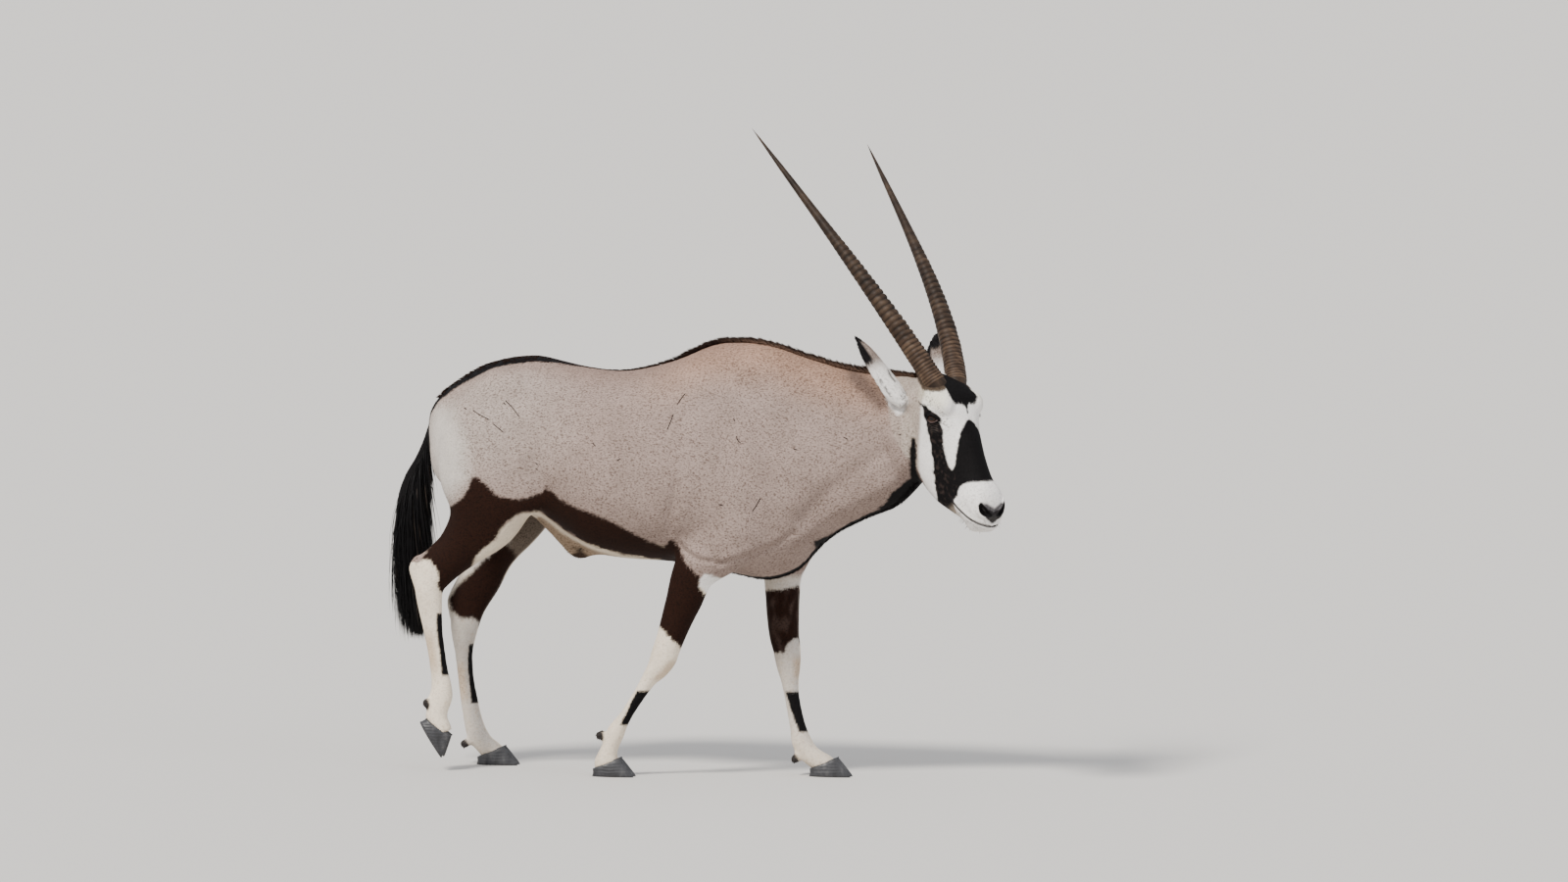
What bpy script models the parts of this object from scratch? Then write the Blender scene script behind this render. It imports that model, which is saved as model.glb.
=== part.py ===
"""A gemsbok bull, life size and still, walking with its head turned to its right.

Metres, +Z up. The animal faces +X and its left side is +Y. The body is one smooth form made
from oval sections, parted into named solids; horns, ears, eyes, claws and tail are let into it.
"""
import math
import random

import bmesh
import bpy
import numpy as np
from mathutils import Matrix, Vector
from mathutils.bvhtree import BVHTree

GAP = 0.0003
VOXEL = 0.006
# Points closer together than this are made one.
WELD = 0.00007
BODY_TRIANGLES = 4300
HEAD_TRIANGLES = 1900

# The head's own frame: +X down the face to the muzzle, +Y to the animal's left, +Z out of the face.
# Its origin is on the midline of the forehead, between the eyes.
HEAD_ORIGIN = Vector((0.768, -0.160, 1.023))
HEAD_YAW = math.radians(-39.0)
HEAD_PITCH = math.radians(65.5)
HEAD = (Matrix.Translation(HEAD_ORIGIN)
        @ Matrix.Rotation(HEAD_YAW, 4, "Z") @ Matrix.Rotation(HEAD_PITCH, 4, "Y"))

# Trunk and neck, from the buttocks to behind the jaw: x, y of the middle, top, underside,
# half width, how much narrower the top is than the underside, and the section's squareness.
TRUNK = (
    (-0.718, 0.000, 0.965, 0.900, 0.030, 0.00, 2.0),
    (-0.693, 0.000, 1.002, 0.800, 0.085, 0.10, 2.0),
    (-0.647, 0.000, 1.041, 0.745, 0.130, 0.16, 2.1),
    (-0.555, 0.000, 1.096, 0.705, 0.168, 0.22, 2.1),
    (-0.434, 0.000, 1.121, 0.690, 0.186, 0.22, 2.1),
    (-0.354, 0.000, 1.107, 0.655, 0.198, 0.12, 2.1),
    (-0.264, 0.000, 1.090, 0.594, 0.215, 0.08, 2.1),
    (-0.170, 0.000, 1.087, 0.577, 0.225, 0.08, 2.1),
    (-0.050, 0.000, 1.117, 0.573, 0.222, 0.16, 2.05),
    (0.060, 0.000, 1.166, 0.560, 0.206, 0.28, 2.0),
    (0.140, 0.000, 1.175, 0.543, 0.190, 0.32, 2.0),
    (0.220, 0.000, 1.167, 0.533, 0.172, 0.30, 2.0),
    (0.300, 0.000, 1.142, 0.562, 0.156, 0.24, 2.0),
    (0.360, 0.000, 1.124, 0.628, 0.142, 0.22, 2.05),
    (0.420, -0.003, 1.109, 0.674, 0.130, 0.23, 2.05),
    (0.500, -0.014, 1.099, 0.713, 0.116, 0.25, 2.0),
    (0.570, -0.034, 1.098, 0.744, 0.104, 0.28, 2.0),
    (0.622, -0.056, 1.092, 0.804, 0.090, 0.30, 2.0),
    (0.660, -0.082, 1.075, 0.840, 0.070, 0.25, 2.0),
)

# The head in its own frame: x down the face, y, top, underside, half width, narrowing, squareness.
SKULL = (
    (-0.138, 0.000, -0.085, -0.130, 0.022, 0.00, 2.0),
    (-0.120, 0.000, -0.060, -0.160, 0.050, 0.00, 2.2),
    (-0.080, 0.001, -0.018, -0.180, 0.074, -0.04, 2.5),
    (-0.035, 0.002, 0.005, -0.198, 0.084, -0.06, 2.6),
    (0.000, 0.003, 0.004, -0.212, 0.082, -0.04, 2.5),
    (0.050, 0.003, -0.001, -0.228, 0.073, 0.02, 2.4),
    (0.100, 0.003, 0.001, -0.232, 0.065, 0.08, 2.3),
    (0.150, 0.003, 0.001, -0.219, 0.061, 0.10, 2.3),
    (0.200, 0.003, 0.003, -0.186, 0.059, 0.08, 2.4),
    (0.240, 0.003, 0.014, -0.148, 0.060, 0.00, 2.5),
    (0.270, 0.003, 0.010, -0.118, 0.058, -0.05, 2.5),
    (0.300, 0.002, -0.004, -0.096, 0.051, -0.05, 2.3),
    (0.322, 0.001, -0.020, -0.080, 0.036, 0.00, 2.1),
    (0.336, 0.000, -0.033, -0.062, 0.018, 0.00, 2.0),
)

# Legs, from inside the trunk to the coronet: x, distance from the midline, z, half depth fore
# and aft, half width.
FORE_RIGHT = (
    (0.090, 0.080, 1.050, 0.055, 0.035),
    (0.125, 0.110, 0.960, 0.090, 0.052),
    (0.145, 0.132, 0.850, 0.115, 0.060),
    (0.150, 0.138, 0.750, 0.122, 0.060),
    (0.120, 0.138, 0.665, 0.108, 0.060),
    (0.068, 0.134, 0.600, 0.080, 0.055),
    (0.032, 0.130, 0.550, 0.061, 0.048),
    (0.011, 0.125, 0.485, 0.052, 0.042),
    (-0.006, 0.120, 0.440, 0.046, 0.038),
    (-0.026, 0.118, 0.380, 0.040, 0.034),
    (-0.037, 0.115, 0.350, 0.039, 0.034),
    (-0.046, 0.115, 0.322, 0.038, 0.035),
    (-0.062, 0.113, 0.293, 0.032, 0.031),
    (-0.082, 0.110, 0.268, 0.0245, 0.025),
    (-0.100, 0.108, 0.240, 0.0205, 0.021),
    (-0.131, 0.105, 0.191, 0.0185, 0.0195),
    (-0.148, 0.103, 0.163, 0.019, 0.020),
    (-0.165, 0.100, 0.137, 0.0235, 0.0235),
    (-0.176, 0.100, 0.115, 0.027, 0.027),
    (-0.187, 0.100, 0.085, 0.0245, 0.026),
    (-0.195, 0.100, 0.060, 0.028, 0.030),
    (-0.197, 0.100, 0.042, 0.036, 0.034),
    (-0.197, 0.100, 0.020, 0.036, 0.034),
)
FORE_LEFT = (
    (0.120, 0.080, 1.050, 0.055, 0.035),
    (0.170, 0.110, 0.960, 0.090, 0.052),
    (0.215, 0.120, 0.850, 0.112, 0.060),
    (0.245, 0.125, 0.750, 0.112, 0.060),
    (0.260, 0.128, 0.665, 0.094, 0.058),
    (0.244, 0.128, 0.600, 0.072, 0.052),
    (0.233, 0.124, 0.540, 0.056, 0.046),
    (0.234, 0.120, 0.480, 0.049, 0.041),
    (0.236, 0.118, 0.430, 0.0465, 0.038),
    (0.241, 0.115, 0.375, 0.043, 0.035),
    (0.249, 0.112, 0.340, 0.040, 0.035),
    (0.253, 0.110, 0.312, 0.0375, 0.035),
    (0.257, 0.108, 0.280, 0.0325, 0.031),
    (0.260, 0.107, 0.255, 0.0265, 0.026),
    (0.266, 0.106, 0.214, 0.0225, 0.0215),
    (0.276, 0.105, 0.165, 0.0225, 0.0215),
    (0.286, 0.104, 0.125, 0.0245, 0.0235),
    (0.296, 0.103, 0.090, 0.030, 0.029),
    (0.314, 0.102, 0.062, 0.029, 0.028),
    (0.338, 0.100, 0.044, 0.029, 0.031),
    (0.358, 0.100, 0.032, 0.031, 0.033),
    (0.374, 0.100, 0.020, 0.029, 0.032),
)
HIND_RIGHT = (
    (-0.470, 0.080, 1.020, 0.090, 0.050),
    (-0.500, 0.105, 0.930, 0.150, 0.072),
    (-0.522, 0.116, 0.840, 0.152, 0.082),
    (-0.527, 0.120, 0.750, 0.134, 0.080),
    (-0.545, 0.120, 0.675, 0.102, 0.068),
    (-0.595, 0.116, 0.607, 0.064, 0.052),
    (-0.648, 0.112, 0.553, 0.050, 0.040),
    (-0.684, 0.110, 0.512, 0.047, 0.034),
    (-0.689, 0.110, 0.475, 0.039, 0.032),
    (-0.684, 0.110, 0.430, 0.034, 0.027),
    (-0.677, 0.110, 0.380, 0.0285, 0.023),
    (-0.668, 0.110, 0.330, 0.026, 0.0215),
    (-0.658, 0.110, 0.270, 0.026, 0.0215),
    (-0.651, 0.110, 0.230, 0.0295, 0.025),
    (-0.652, 0.110, 0.200, 0.034, 0.029),
    (-0.660, 0.110, 0.168, 0.031, 0.028),
    (-0.664, 0.110, 0.142, 0.032, 0.030),
    (-0.659, 0.110, 0.120, 0.035, 0.033),
    (-0.650, 0.110, 0.098, 0.035, 0.033),
)
HIND_LEFT = (
    (-0.470, 0.080, 1.020, 0.090, 0.050),
    (-0.490, 0.105, 0.930, 0.150, 0.072),
    (-0.498, 0.116, 0.840, 0.152, 0.082),
    (-0.493, 0.120, 0.750, 0.134, 0.080),
    (-0.512, 0.120, 0.665, 0.096, 0.068),
    (-0.557, 0.116, 0.575, 0.062, 0.052),
    (-0.588, 0.112, 0.500, 0.054, 0.042),
    (-0.622, 0.110, 0.435, 0.049, 0.034),
    (-0.634, 0.110, 0.385, 0.043, 0.031),
    (-0.637, 0.110, 0.345, 0.036, 0.028),
    (-0.637, 0.110, 0.310, 0.028, 0.024),
    (-0.634, 0.110, 0.270, 0.0245, 0.0215),
    (-0.628, 0.110, 0.220, 0.024, 0.021),
    (-0.621, 0.110, 0.180, 0.0255, 0.023),
    (-0.612, 0.110, 0.135, 0.0265, 0.025),
    (-0.603, 0.110, 0.100, 0.029, 0.028),
    (-0.593, 0.110, 0.075, 0.031, 0.029),
    (-0.575, 0.110, 0.053, 0.029, 0.029),
    (-0.556, 0.110, 0.036, 0.032, 0.033),
    (-0.542, 0.110, 0.020, 0.032, 0.033),
)
# The tendon behind each gaskin and the point of the hock, as the legs' rows.
HOCK_RIGHT = (
    (-0.615, 0.114, 0.690, 0.022, 0.013),
    (-0.650, 0.112, 0.630, 0.018, 0.011),
    (-0.695, 0.110, 0.583, 0.017, 0.012),
    (-0.724, 0.110, 0.553, 0.021, 0.017),
    (-0.722, 0.110, 0.525, 0.021, 0.018),
    (-0.702, 0.110, 0.470, 0.020, 0.018),
)
HOCK_LEFT = (
    (-0.580, 0.114, 0.660, 0.022, 0.013),
    (-0.612, 0.112, 0.580, 0.018, 0.011),
    (-0.642, 0.110, 0.505, 0.017, 0.012),
    (-0.664, 0.110, 0.448, 0.021, 0.017),
    (-0.664, 0.110, 0.420, 0.021, 0.018),
    (-0.652, 0.110, 0.370, 0.020, 0.018),
)
# The fold of skin on the belly that ends in the sheath: x, y, z, half depth, half width.
SHEATH = (
    (-0.430, 0.000, 0.720, 0.030, 0.030),
    (-0.370, 0.000, 0.668, 0.034, 0.030),
    (-0.322, 0.000, 0.612, 0.028, 0.024),
    (-0.297, 0.000, 0.590, 0.020, 0.017),
    (-0.268, 0.000, 0.600, 0.020, 0.022),
    (-0.200, 0.000, 0.606, 0.024, 0.024),
)

# Rounded masses: centre, half sizes along x, y and z, and turn about the y axis in degrees.
# Those of the trunk are given for the left side and repeated on the right.
TRUNK_MASSES = (
    ((-0.455, 0.080, 1.020), (0.120, 0.062, 0.066), 15),
    ((-0.630, 0.060, 0.880), (0.075, 0.065, 0.130), 8),
    ((-0.420, 0.150, 0.760), (0.070, 0.040, 0.070), -35),
    ((0.130, 0.045, 1.030), (0.160, 0.070, 0.110), -5),
)
HEAD_MASSES = (
    ((-0.018, 0.052, -0.025), (0.036, 0.028, 0.0325), -4),
    ((0.006, 0.056, -0.086), (0.056, 0.022, 0.016), 4),
    ((0.055, 0.040, -0.142), (0.085, 0.027, 0.068), -10),
    ((0.277, 0.020, -0.038), (0.036, 0.030, 0.034), 10),
    ((0.300, 0.012, -0.080), (0.030, 0.024, 0.020), -20),
    ((-0.076, 0.037, -0.060), (0.030, 0.030, 0.026), 0),
    ((-0.068, 0.058, -0.126), (0.034, 0.026, 0.034), 0),
)

# Dewclaws behind the fetlocks: the middle of each pair, how far apart they sit, and their sizes.
DEWCLAWS = ((-0.216, -0.100, 0.110), (0.281, 0.102, 0.045),
            (-0.688, -0.110, 0.182), (-0.628, 0.110, 0.054))
DEWCLAW_APART = 0.0165
DEWCLAW_SIZES = (0.0145, 0.0110, 0.0155)

EYE_CENTRE = Vector((0.004, 0.0625, -0.0620))
EYE_RADIUS = 0.0190

# Horns: where each leaves the head, its length on the right (-1) and the left (1), and how far
# it leans back and out at its root and at its tip.
HORN_ROOT = Vector((-0.088, 0.0373, -0.0504))
HORN_LENGTHS = {-1: 0.893, 1: 0.829}
HORN_LEAN = (math.radians(6.4), math.radians(20.8))
HORN_SPREAD = (math.radians(18.1), math.radians(7.3))
# Share of the length, and radius there.
HORN_RADII = ((0.0, 0.0292), (0.12, 0.0275), (0.28, 0.0238), (0.45, 0.0188),
              (0.65, 0.0124), (0.84, 0.0076), (0.96, 0.0030), (1.0, 0.0008))
RING_SHARE = 0.62

# Ears: root, direction and open side in the head's frame, for the left ear.
EAR_ROOT = Vector((-0.0885, 0.0757, -0.1378))
EAR_AXIS = Vector((-0.911, 0.341, -0.234)).normalized()
EAR_OPEN = Vector((-0.10, 0.55, -0.83))
EAR_LENGTH = 0.206

# Feet: the point of the ground plane under each coronet, how far the toe is turned down,
# and the matching leg.
TOE_DOWN = math.radians(58.0)
FEET = {
    "fore_right": (Vector((-0.197, -0.100, 0.0)), 0.0),
    "fore_left": (Vector((0.358, 0.100, 0.0)), 0.0),
    "hind_left": (Vector((-0.556, 0.110, 0.0)), 0.0),
    "hind_right": (Vector((-0.686, -0.110, 0.100)), TOE_DOWN),
}
CORONET_HEIGHT = 0.033
CORONET_SLOPE = 0.40

HORN_SIDES = 8
RING_STEP = 0.0200
RING_RISE = 0.0017

# Along each ear, from root to tip: half width, how far the cup wraps round, and thickness.
EAR_SHARES = (-0.10, 0.02, 0.12, 0.25, 0.40, 0.55, 0.70, 0.82, 0.92, 1.0)
EAR_WIDTHS = ((-0.10, 0.019), (0.02, 0.025), (0.12, 0.031), (0.25, 0.037), (0.40, 0.040),
              (0.55, 0.041), (0.70, 0.037), (0.82, 0.028), (0.92, 0.016), (1.0, 0.005))
EAR_WRAPS = ((-0.10, 2.7), (0.02, 2.5), (0.15, 2.0), (0.30, 1.65), (0.50, 1.45), (0.80, 1.2), (1.0, 1.0))
EAR_THICKS = ((-0.10, 0.010), (0.05, 0.007), (0.20, 0.0045), (0.70, 0.0035), (1.0, 0.0015))
EAR_BOW = 0.001
EAR_STEPS = 9
EAR_ROOT_RINGS = 5

# Each claw: heel, toe and half width at the sole and at the coronet; the cleft between two.
CLAW_SIDES = 12
CLAW_HEEL = (-0.038, -0.036)
CLAW_TOE = (0.078, 0.038)
CLAW_HALF = (0.0150, 0.0165, 0.0150)
CLEFT = 0.003

# The dock of the tail and the core of its tuft, as the legs' rows.
TAIL = (
    (-0.672, 0.000, 0.985, 0.020, 0.020),
    (-0.700, 0.000, 0.935, 0.019, 0.019),
    (-0.721, 0.000, 0.880, 0.015, 0.016),
    (-0.741, 0.000, 0.825, 0.019, 0.018),
    (-0.753, 0.000, 0.785, 0.030, 0.022),
    (-0.760, 0.000, 0.735, 0.042, 0.027),
    (-0.763, 0.000, 0.675, 0.047, 0.028),
    (-0.761, 0.000, 0.610, 0.045, 0.028),
    (-0.755, 0.000, 0.550, 0.038, 0.024),
    (-0.745, 0.000, 0.490, 0.026, 0.018),
    (-0.737, 0.000, 0.430, 0.010, 0.009),
)

# Locks: how many, how long, half as wide and half as thick at the middle.
MANE_LOCKS = 40
MANE_LENGTH = 0.046
MANE_HALF = (0.0100, 0.0022)
MANE_REACH = (0.185, 0.600)
TUFT_LOCKS = 26
TUFT_LENGTH = 0.250
TUFT_HALF = (0.0150, 0.0042)
TUFT_ROOTS = (0.825, 0.520)
TUFT_END = 0.372
TUFT_FLARE = (0.36, 0.12)
# How far the locks on the front of the tuft spread, and how far the tips turn forward and in.
FRONT_SPREAD = 0.2
TIP_TURN = (0.20, 0.26)
LOCK_SINK = 0.013
GOLDEN_TURN = 2.399

# The mouth from its corner to the middle of the front, and each nostril, in the head's frame.
MOUTH = ((0.222, 0.052, -0.093), (0.252, 0.052, -0.081), (0.277, 0.050, -0.066),
         (0.302, 0.044, -0.048), (0.320, 0.028, -0.035), (0.331, 0.000, -0.027))
MOUTH_HALF = 0.0012
MOUTH_DEPTH = 0.005
NOSTRIL = (0.292, 0.029, -0.016)
NOSTRIL_SIZES = (0.0190, 0.0060, 0.0080)
NOSTRIL_TURN = math.radians(-42)

# The eye's opening: the way it looks, half length, half height, tilt, and the lids' thickness.
EYE_WAY = Vector((0.10, 0.93, 0.34)).normalized()
EYE_OPENING = (0.0175, 0.0115)
EYE_TILT = math.radians(24)
LID_OUT = 0.0165
LID_THICK = 0.0030

# The parting planes of each node: a point and the direction that faces out of the node.
NECK_PLANE = ((0.160, 0.0, 1.172), (-0.940, 0.0, -0.342))
SIDES = {"right": -1, "left": 1}


def smooth_rows(rows, steps):
    """The rows joined by a smooth curve, with that many steps from each row to the next."""
    rows = np.array(rows, float)
    ends = np.vstack([2 * rows[0] - rows[1], rows, 2 * rows[-1] - rows[-2]])
    found = []
    for i in range(len(rows) - 1):
        before, a, b, after = ends[i:i + 4]
        for t in np.arange(steps) / steps:
            found.append(0.5 * (2 * a + (b - before) * t
                                + (2 * before - 5 * a + 4 * b - after) * t ** 2
                                + (3 * a - before - 3 * b + after) * t ** 3))
    return np.array([*found, rows[-1]])


def closed_loft(rings):
    """(points, faces) of one closed body through the rings, with a flat cap at each end."""
    count = len(rings[0])
    faces = []
    for i in range(len(rings) - 1):
        for j in range(count):
            a = i * count + j
            b = i * count + (j + 1) % count
            faces.append((a, b, b + count, a + count))
    last = (len(rings) - 1) * count
    faces.append(tuple(range(count - 1, -1, -1)))
    faces.append(tuple(range(last, last + count)))
    return np.concatenate(rings), faces


def body_loft(rows, steps=4, count=40):
    """A loft of upright sections along x that are rounder or squarer, and narrower on top."""
    rows = smooth_rows(rows, steps)
    turn = np.linspace(0, 2 * math.pi, count, endpoint=False)
    rings = []
    for i, (x, y, top, under, half, narrow, square) in enumerate(rows):
        ahead = rows[min(i + 1, len(rows) - 1)] - rows[max(i - 1, 0)]
        yaw = math.atan2(ahead[1], ahead[0])
        across = np.sign(np.cos(turn)) * np.abs(np.cos(turn)) ** (2 / square)
        up = np.sign(np.sin(turn)) * np.abs(np.sin(turn)) ** (2 / square)
        wide = half * across * (1 - narrow * up)
        rings.append(np.stack([x - wide * math.sin(yaw), y + wide * math.cos(yaw),
                               (top + under) / 2 + (top - under) / 2 * up], axis=1))
    return closed_loft(rings)


def limb_loft(rows, side, steps=3, count=28):
    """A loft of oval sections square to a path, on the left (side 1) or right (-1)."""
    rows = smooth_rows(rows, steps)
    centres = rows[:, :3] * (1, side, 1)
    ahead = np.gradient(centres, axis=0)
    ahead /= np.linalg.norm(ahead, axis=1)[:, None]
    turn = np.linspace(0, 2 * math.pi, count, endpoint=False)
    rings = []
    for centre, along, (deep, wide) in zip(centres, ahead, rows[:, 3:]):
        across = np.array([0.0, 1.0, 0.0]) - along * along[1]
        across /= np.linalg.norm(across)
        fore = np.cross(along, across)
        rings.append(centre + np.outer(np.cos(turn) * deep, fore) + np.outer(np.sin(turn) * wide, across))
    return closed_loft(rings)


def ball(centre, half_sizes, turn_degrees=0.0, detail=3):
    """(points, faces) of an oval ball, turned about the y axis."""
    mesh = bmesh.new()
    bmesh.ops.create_icosphere(mesh, subdivisions=detail, radius=1.0)
    place = (Matrix.Translation(centre) @ Matrix.Rotation(math.radians(turn_degrees), 4, "Y")
             @ Matrix.Diagonal((*half_sizes, 1.0)))
    points = np.array([place @ v.co for v in mesh.verts])
    faces = [tuple(v.index for v in face.verts) for face in mesh.faces]
    mesh.free()
    return points, faces


def placed(piece, matrix):
    """The piece moved by a matrix."""
    points, faces = piece
    m = np.array(matrix)
    return points @ m[:3, :3].T + m[:3, 3], faces


def both_sides(masses):
    """An oval ball for each row, on the left and on the right."""
    for (x, y, z), sizes, turn in masses:
        for side in (1, -1):
            yield ball((x, side * y, z), sizes, turn)


def flesh_pieces():
    """The closed, overlapping pieces whose union is the animal's flesh."""
    yield body_loft(TRUNK)
    yield limb_loft(SHEATH, 1)
    for rows, side in ((FORE_RIGHT, -1), (FORE_LEFT, 1), (HIND_RIGHT, -1), (HIND_LEFT, 1),
                       (HOCK_RIGHT, -1), (HOCK_LEFT, 1)):
        yield limb_loft(rows, side)
    yield from both_sides(TRUNK_MASSES)
    for x, y, z in DEWCLAWS:
        for across in (-DEWCLAW_APART, DEWCLAW_APART):
            yield ball((x, y + across, z), DEWCLAW_SIZES, 0.0)
    yield placed(body_loft(SKULL), HEAD)
    for piece in both_sides(HEAD_MASSES):
        yield placed(piece, HEAD)


def new_mesh(name, points, faces):
    """A Blender mesh with its faces pointing out."""
    mesh = bpy.data.meshes.new(name)
    mesh.from_pydata(np.asarray(points).tolist(), [], [tuple(map(int, face)) for face in faces])
    shape = bmesh.new()
    shape.from_mesh(mesh)
    bmesh.ops.recalc_face_normals(shape, faces=shape.faces)
    shape.to_mesh(mesh)
    shape.free()
    return mesh


def joined(pieces):
    """The pieces as one list of points and one of faces."""
    points, faces, start = [], [], 0
    for more, cells in pieces:
        points.append(more)
        faces += [tuple(i + start for i in cell) for cell in cells]
        start += len(more)
    return np.concatenate(points), faces


def evaluated_mesh(obj):
    """A new mesh with the object's modifiers applied; the object is removed."""
    bpy.context.view_layer.update()
    graph = bpy.context.evaluated_depsgraph_get()
    mesh = bpy.data.meshes.new_from_object(obj.evaluated_get(graph))
    bpy.data.objects.remove(obj)
    return mesh


def fused(pieces, voxel):
    """(points, quads) of the union of the pieces, as an even net of small quads."""
    obj = bpy.data.objects.new("fusing", new_mesh("fusing", *joined(pieces)))
    bpy.context.scene.collection.objects.link(obj)
    modifier = obj.modifiers.new("Remesh", "REMESH")
    modifier.mode = "VOXEL"
    modifier.voxel_size = voxel
    mesh = evaluated_mesh(obj)
    points = np.empty(len(mesh.vertices) * 3, np.float32)
    mesh.vertices.foreach_get("co", points)
    quads = np.array([tuple(face.vertices) for face in mesh.polygons])
    return points.reshape(-1, 3).astype(float), quads


def edges_of(quads):
    """Each edge of the net once, as pairs of point numbers."""
    ends = np.concatenate([quads[:, [i, (i + 1) % 4]] for i in range(4)])
    return np.unique(np.sort(ends, axis=1), axis=0)


def relaxed(points, edges, rounds, weight):
    """The points drawn towards their neighbours' average, as far as each one's weight."""
    a, b = edges.T
    count = np.bincount(a, minlength=len(points)) + np.bincount(b, minlength=len(points))
    for _ in range(rounds):
        total = np.stack([np.bincount(a, points[b, k], len(points))
                          + np.bincount(b, points[a, k], len(points)) for k in range(3)], axis=1)
        points = points + (total / count[:, None] - points) * weight[:, None]
    return points


def ramp(values, low, high):
    """0 below low, 1 above high, and a smooth rise between."""
    t = np.clip((values - low) / (high - low), 0, 1)
    return t * t * (3 - 2 * t)


def head_share(points):
    """1 on the head, 0 on the body, and a soft step between."""
    local = in_head(points)
    return ramp(local[:, 2], -0.215, -0.165) * ramp(local[:, 0], -0.19, -0.13)


def in_head(points):
    """The points in the head's own frame."""
    m = np.array(HEAD.inverted())
    return points @ m[:3, :3].T + m[:3, 3]


def flesh(voxel):
    """(points, quads) of the whole body, its joins softened."""
    points, quads = fused(flesh_pieces(), voxel)
    edges = edges_of(quads)
    spread = (0.005 / voxel) ** 2
    on_head = head_share(points)
    on_trunk = ramp(points[:, 2], 0.46, 0.64) * (1 - on_head)
    points = relaxed(points, edges, round(6 * spread), np.full(len(points), 0.5))
    points = relaxed(points, edges, round(44 * spread), 0.6 * on_trunk)
    return points, quads


def remove_objects():
    """Empties the scene."""
    for obj in list(bpy.data.objects):
        bpy.data.objects.remove(obj)


def material(name, colour, roughness):
    """A plain Principled material."""
    made = bpy.data.materials.new(name)
    made.use_nodes = True
    shader = made.node_tree.nodes["Principled BSDF"]
    shader.inputs["Base Color"].default_value = (*colour, 1.0)
    shader.inputs["Roughness"].default_value = roughness
    shader.inputs["Metallic"].default_value = 0.0
    made.diffuse_color = (*colour, 1.0)
    return made


def shown(name, mesh, look):
    """An object of that mesh in the scene, with its material."""
    obj = bpy.data.objects.new(name, mesh)
    bpy.context.scene.collection.objects.link(obj)
    mesh.materials.clear()
    mesh.materials.append(look)
    mesh.shade_smooth()
    mesh.set_sharp_from_angle(angle=math.radians(50))
    return obj


def thinned(mesh, may_thin, triangles):
    """The mesh with fewer triangles, taken only from the points that the function allows."""
    obj = bpy.data.objects.new("thinning", mesh)
    bpy.context.scene.collection.objects.link(obj)
    group = obj.vertex_groups.new(name="thin")
    points = np.array([v.co for v in mesh.vertices])
    group.add([int(i) for i in np.flatnonzero(may_thin(points))], 1.0, "REPLACE")
    mesh.calc_loop_triangles()
    modifier = obj.modifiers.new("Decimate", "DECIMATE")
    modifier.ratio = triangles / len(mesh.loop_triangles)
    modifier.vertex_group = group.name
    modifier.vertex_group_factor = 1.0
    return evaluated_mesh(obj)


def combined(mesh, operation, cutters, solver="EXACT"):
    """The mesh joined with, or cut by, the closed meshes."""
    scene = bpy.context.scene.collection
    obj = bpy.data.objects.new("base", mesh)
    scene.objects.link(obj)
    group = bpy.data.collections.new("cutters")
    scene.children.link(group)
    for i, cutter in enumerate(cutters):
        group.objects.link(bpy.data.objects.new(f"cutter_{i}", cutter))
    modifier = obj.modifiers.new("Boolean", "BOOLEAN")
    modifier.operation = operation
    modifier.solver = solver
    modifier.operand_type = "COLLECTION"
    modifier.collection = group
    result = evaluated_mesh(obj)
    for cutter in list(group.objects):
        bpy.data.objects.remove(cutter)
    bpy.data.collections.remove(group)
    return result


def largest_shell(mesh):
    """The mesh with only its largest closed surface, as triangles with no needless points."""
    shape = bmesh.new()
    shape.from_mesh(mesh)
    bmesh.ops.triangulate(shape, faces=shape.faces)
    bmesh.ops.remove_doubles(shape, verts=shape.verts, dist=WELD)
    bmesh.ops.dissolve_degenerate(shape, edges=shape.edges, dist=WELD)
    left = set(shape.faces)
    shells = []
    while left:
        shell = {left.pop()}
        edge_of_growth = list(shell)
        while edge_of_growth:
            for edge in edge_of_growth.pop().edges:
                for face in edge.link_faces:
                    if face in left:
                        left.remove(face)
                        shell.add(face)
                        edge_of_growth.append(face)
        shells.append(shell)
    kept = max(shells, key=len)
    scraps = [face for face in shape.faces if face not in kept]
    bmesh.ops.delete(shape, geom=scraps, context="FACES")
    bmesh.ops.triangulate(shape, faces=shape.faces)
    shape.to_mesh(mesh)
    shape.free()
    return mesh


def grown(mesh, distance):
    """A copy of the mesh with each face moved out by that distance."""
    shape = bmesh.new()
    shape.from_mesh(mesh)
    shape.normal_update()
    moves = [v.normal * min(v.calc_shell_factor(), 2.0) * distance for v in shape.verts]
    for v, move in zip(shape.verts, moves):
        v.co += move
    copy = bpy.data.meshes.new("grown")
    shape.to_mesh(copy)
    shape.free()
    return copy


def root_hull(mesh, count):
    """The convex hull of the mesh's first points."""
    shape = bmesh.new()
    for v in list(mesh.vertices)[:count]:
        shape.verts.new(v.co)
    found = bmesh.ops.convex_hull(shape, input=shape.verts)
    inside = [part for part in found["geom_interior"] if isinstance(part, bmesh.types.BMVert)]
    bmesh.ops.delete(shape, geom=inside, context="VERTS")
    bmesh.ops.recalc_face_normals(shape, faces=shape.faces)
    hull = bpy.data.meshes.new("hull")
    shape.to_mesh(hull)
    shape.free()
    return hull


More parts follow.
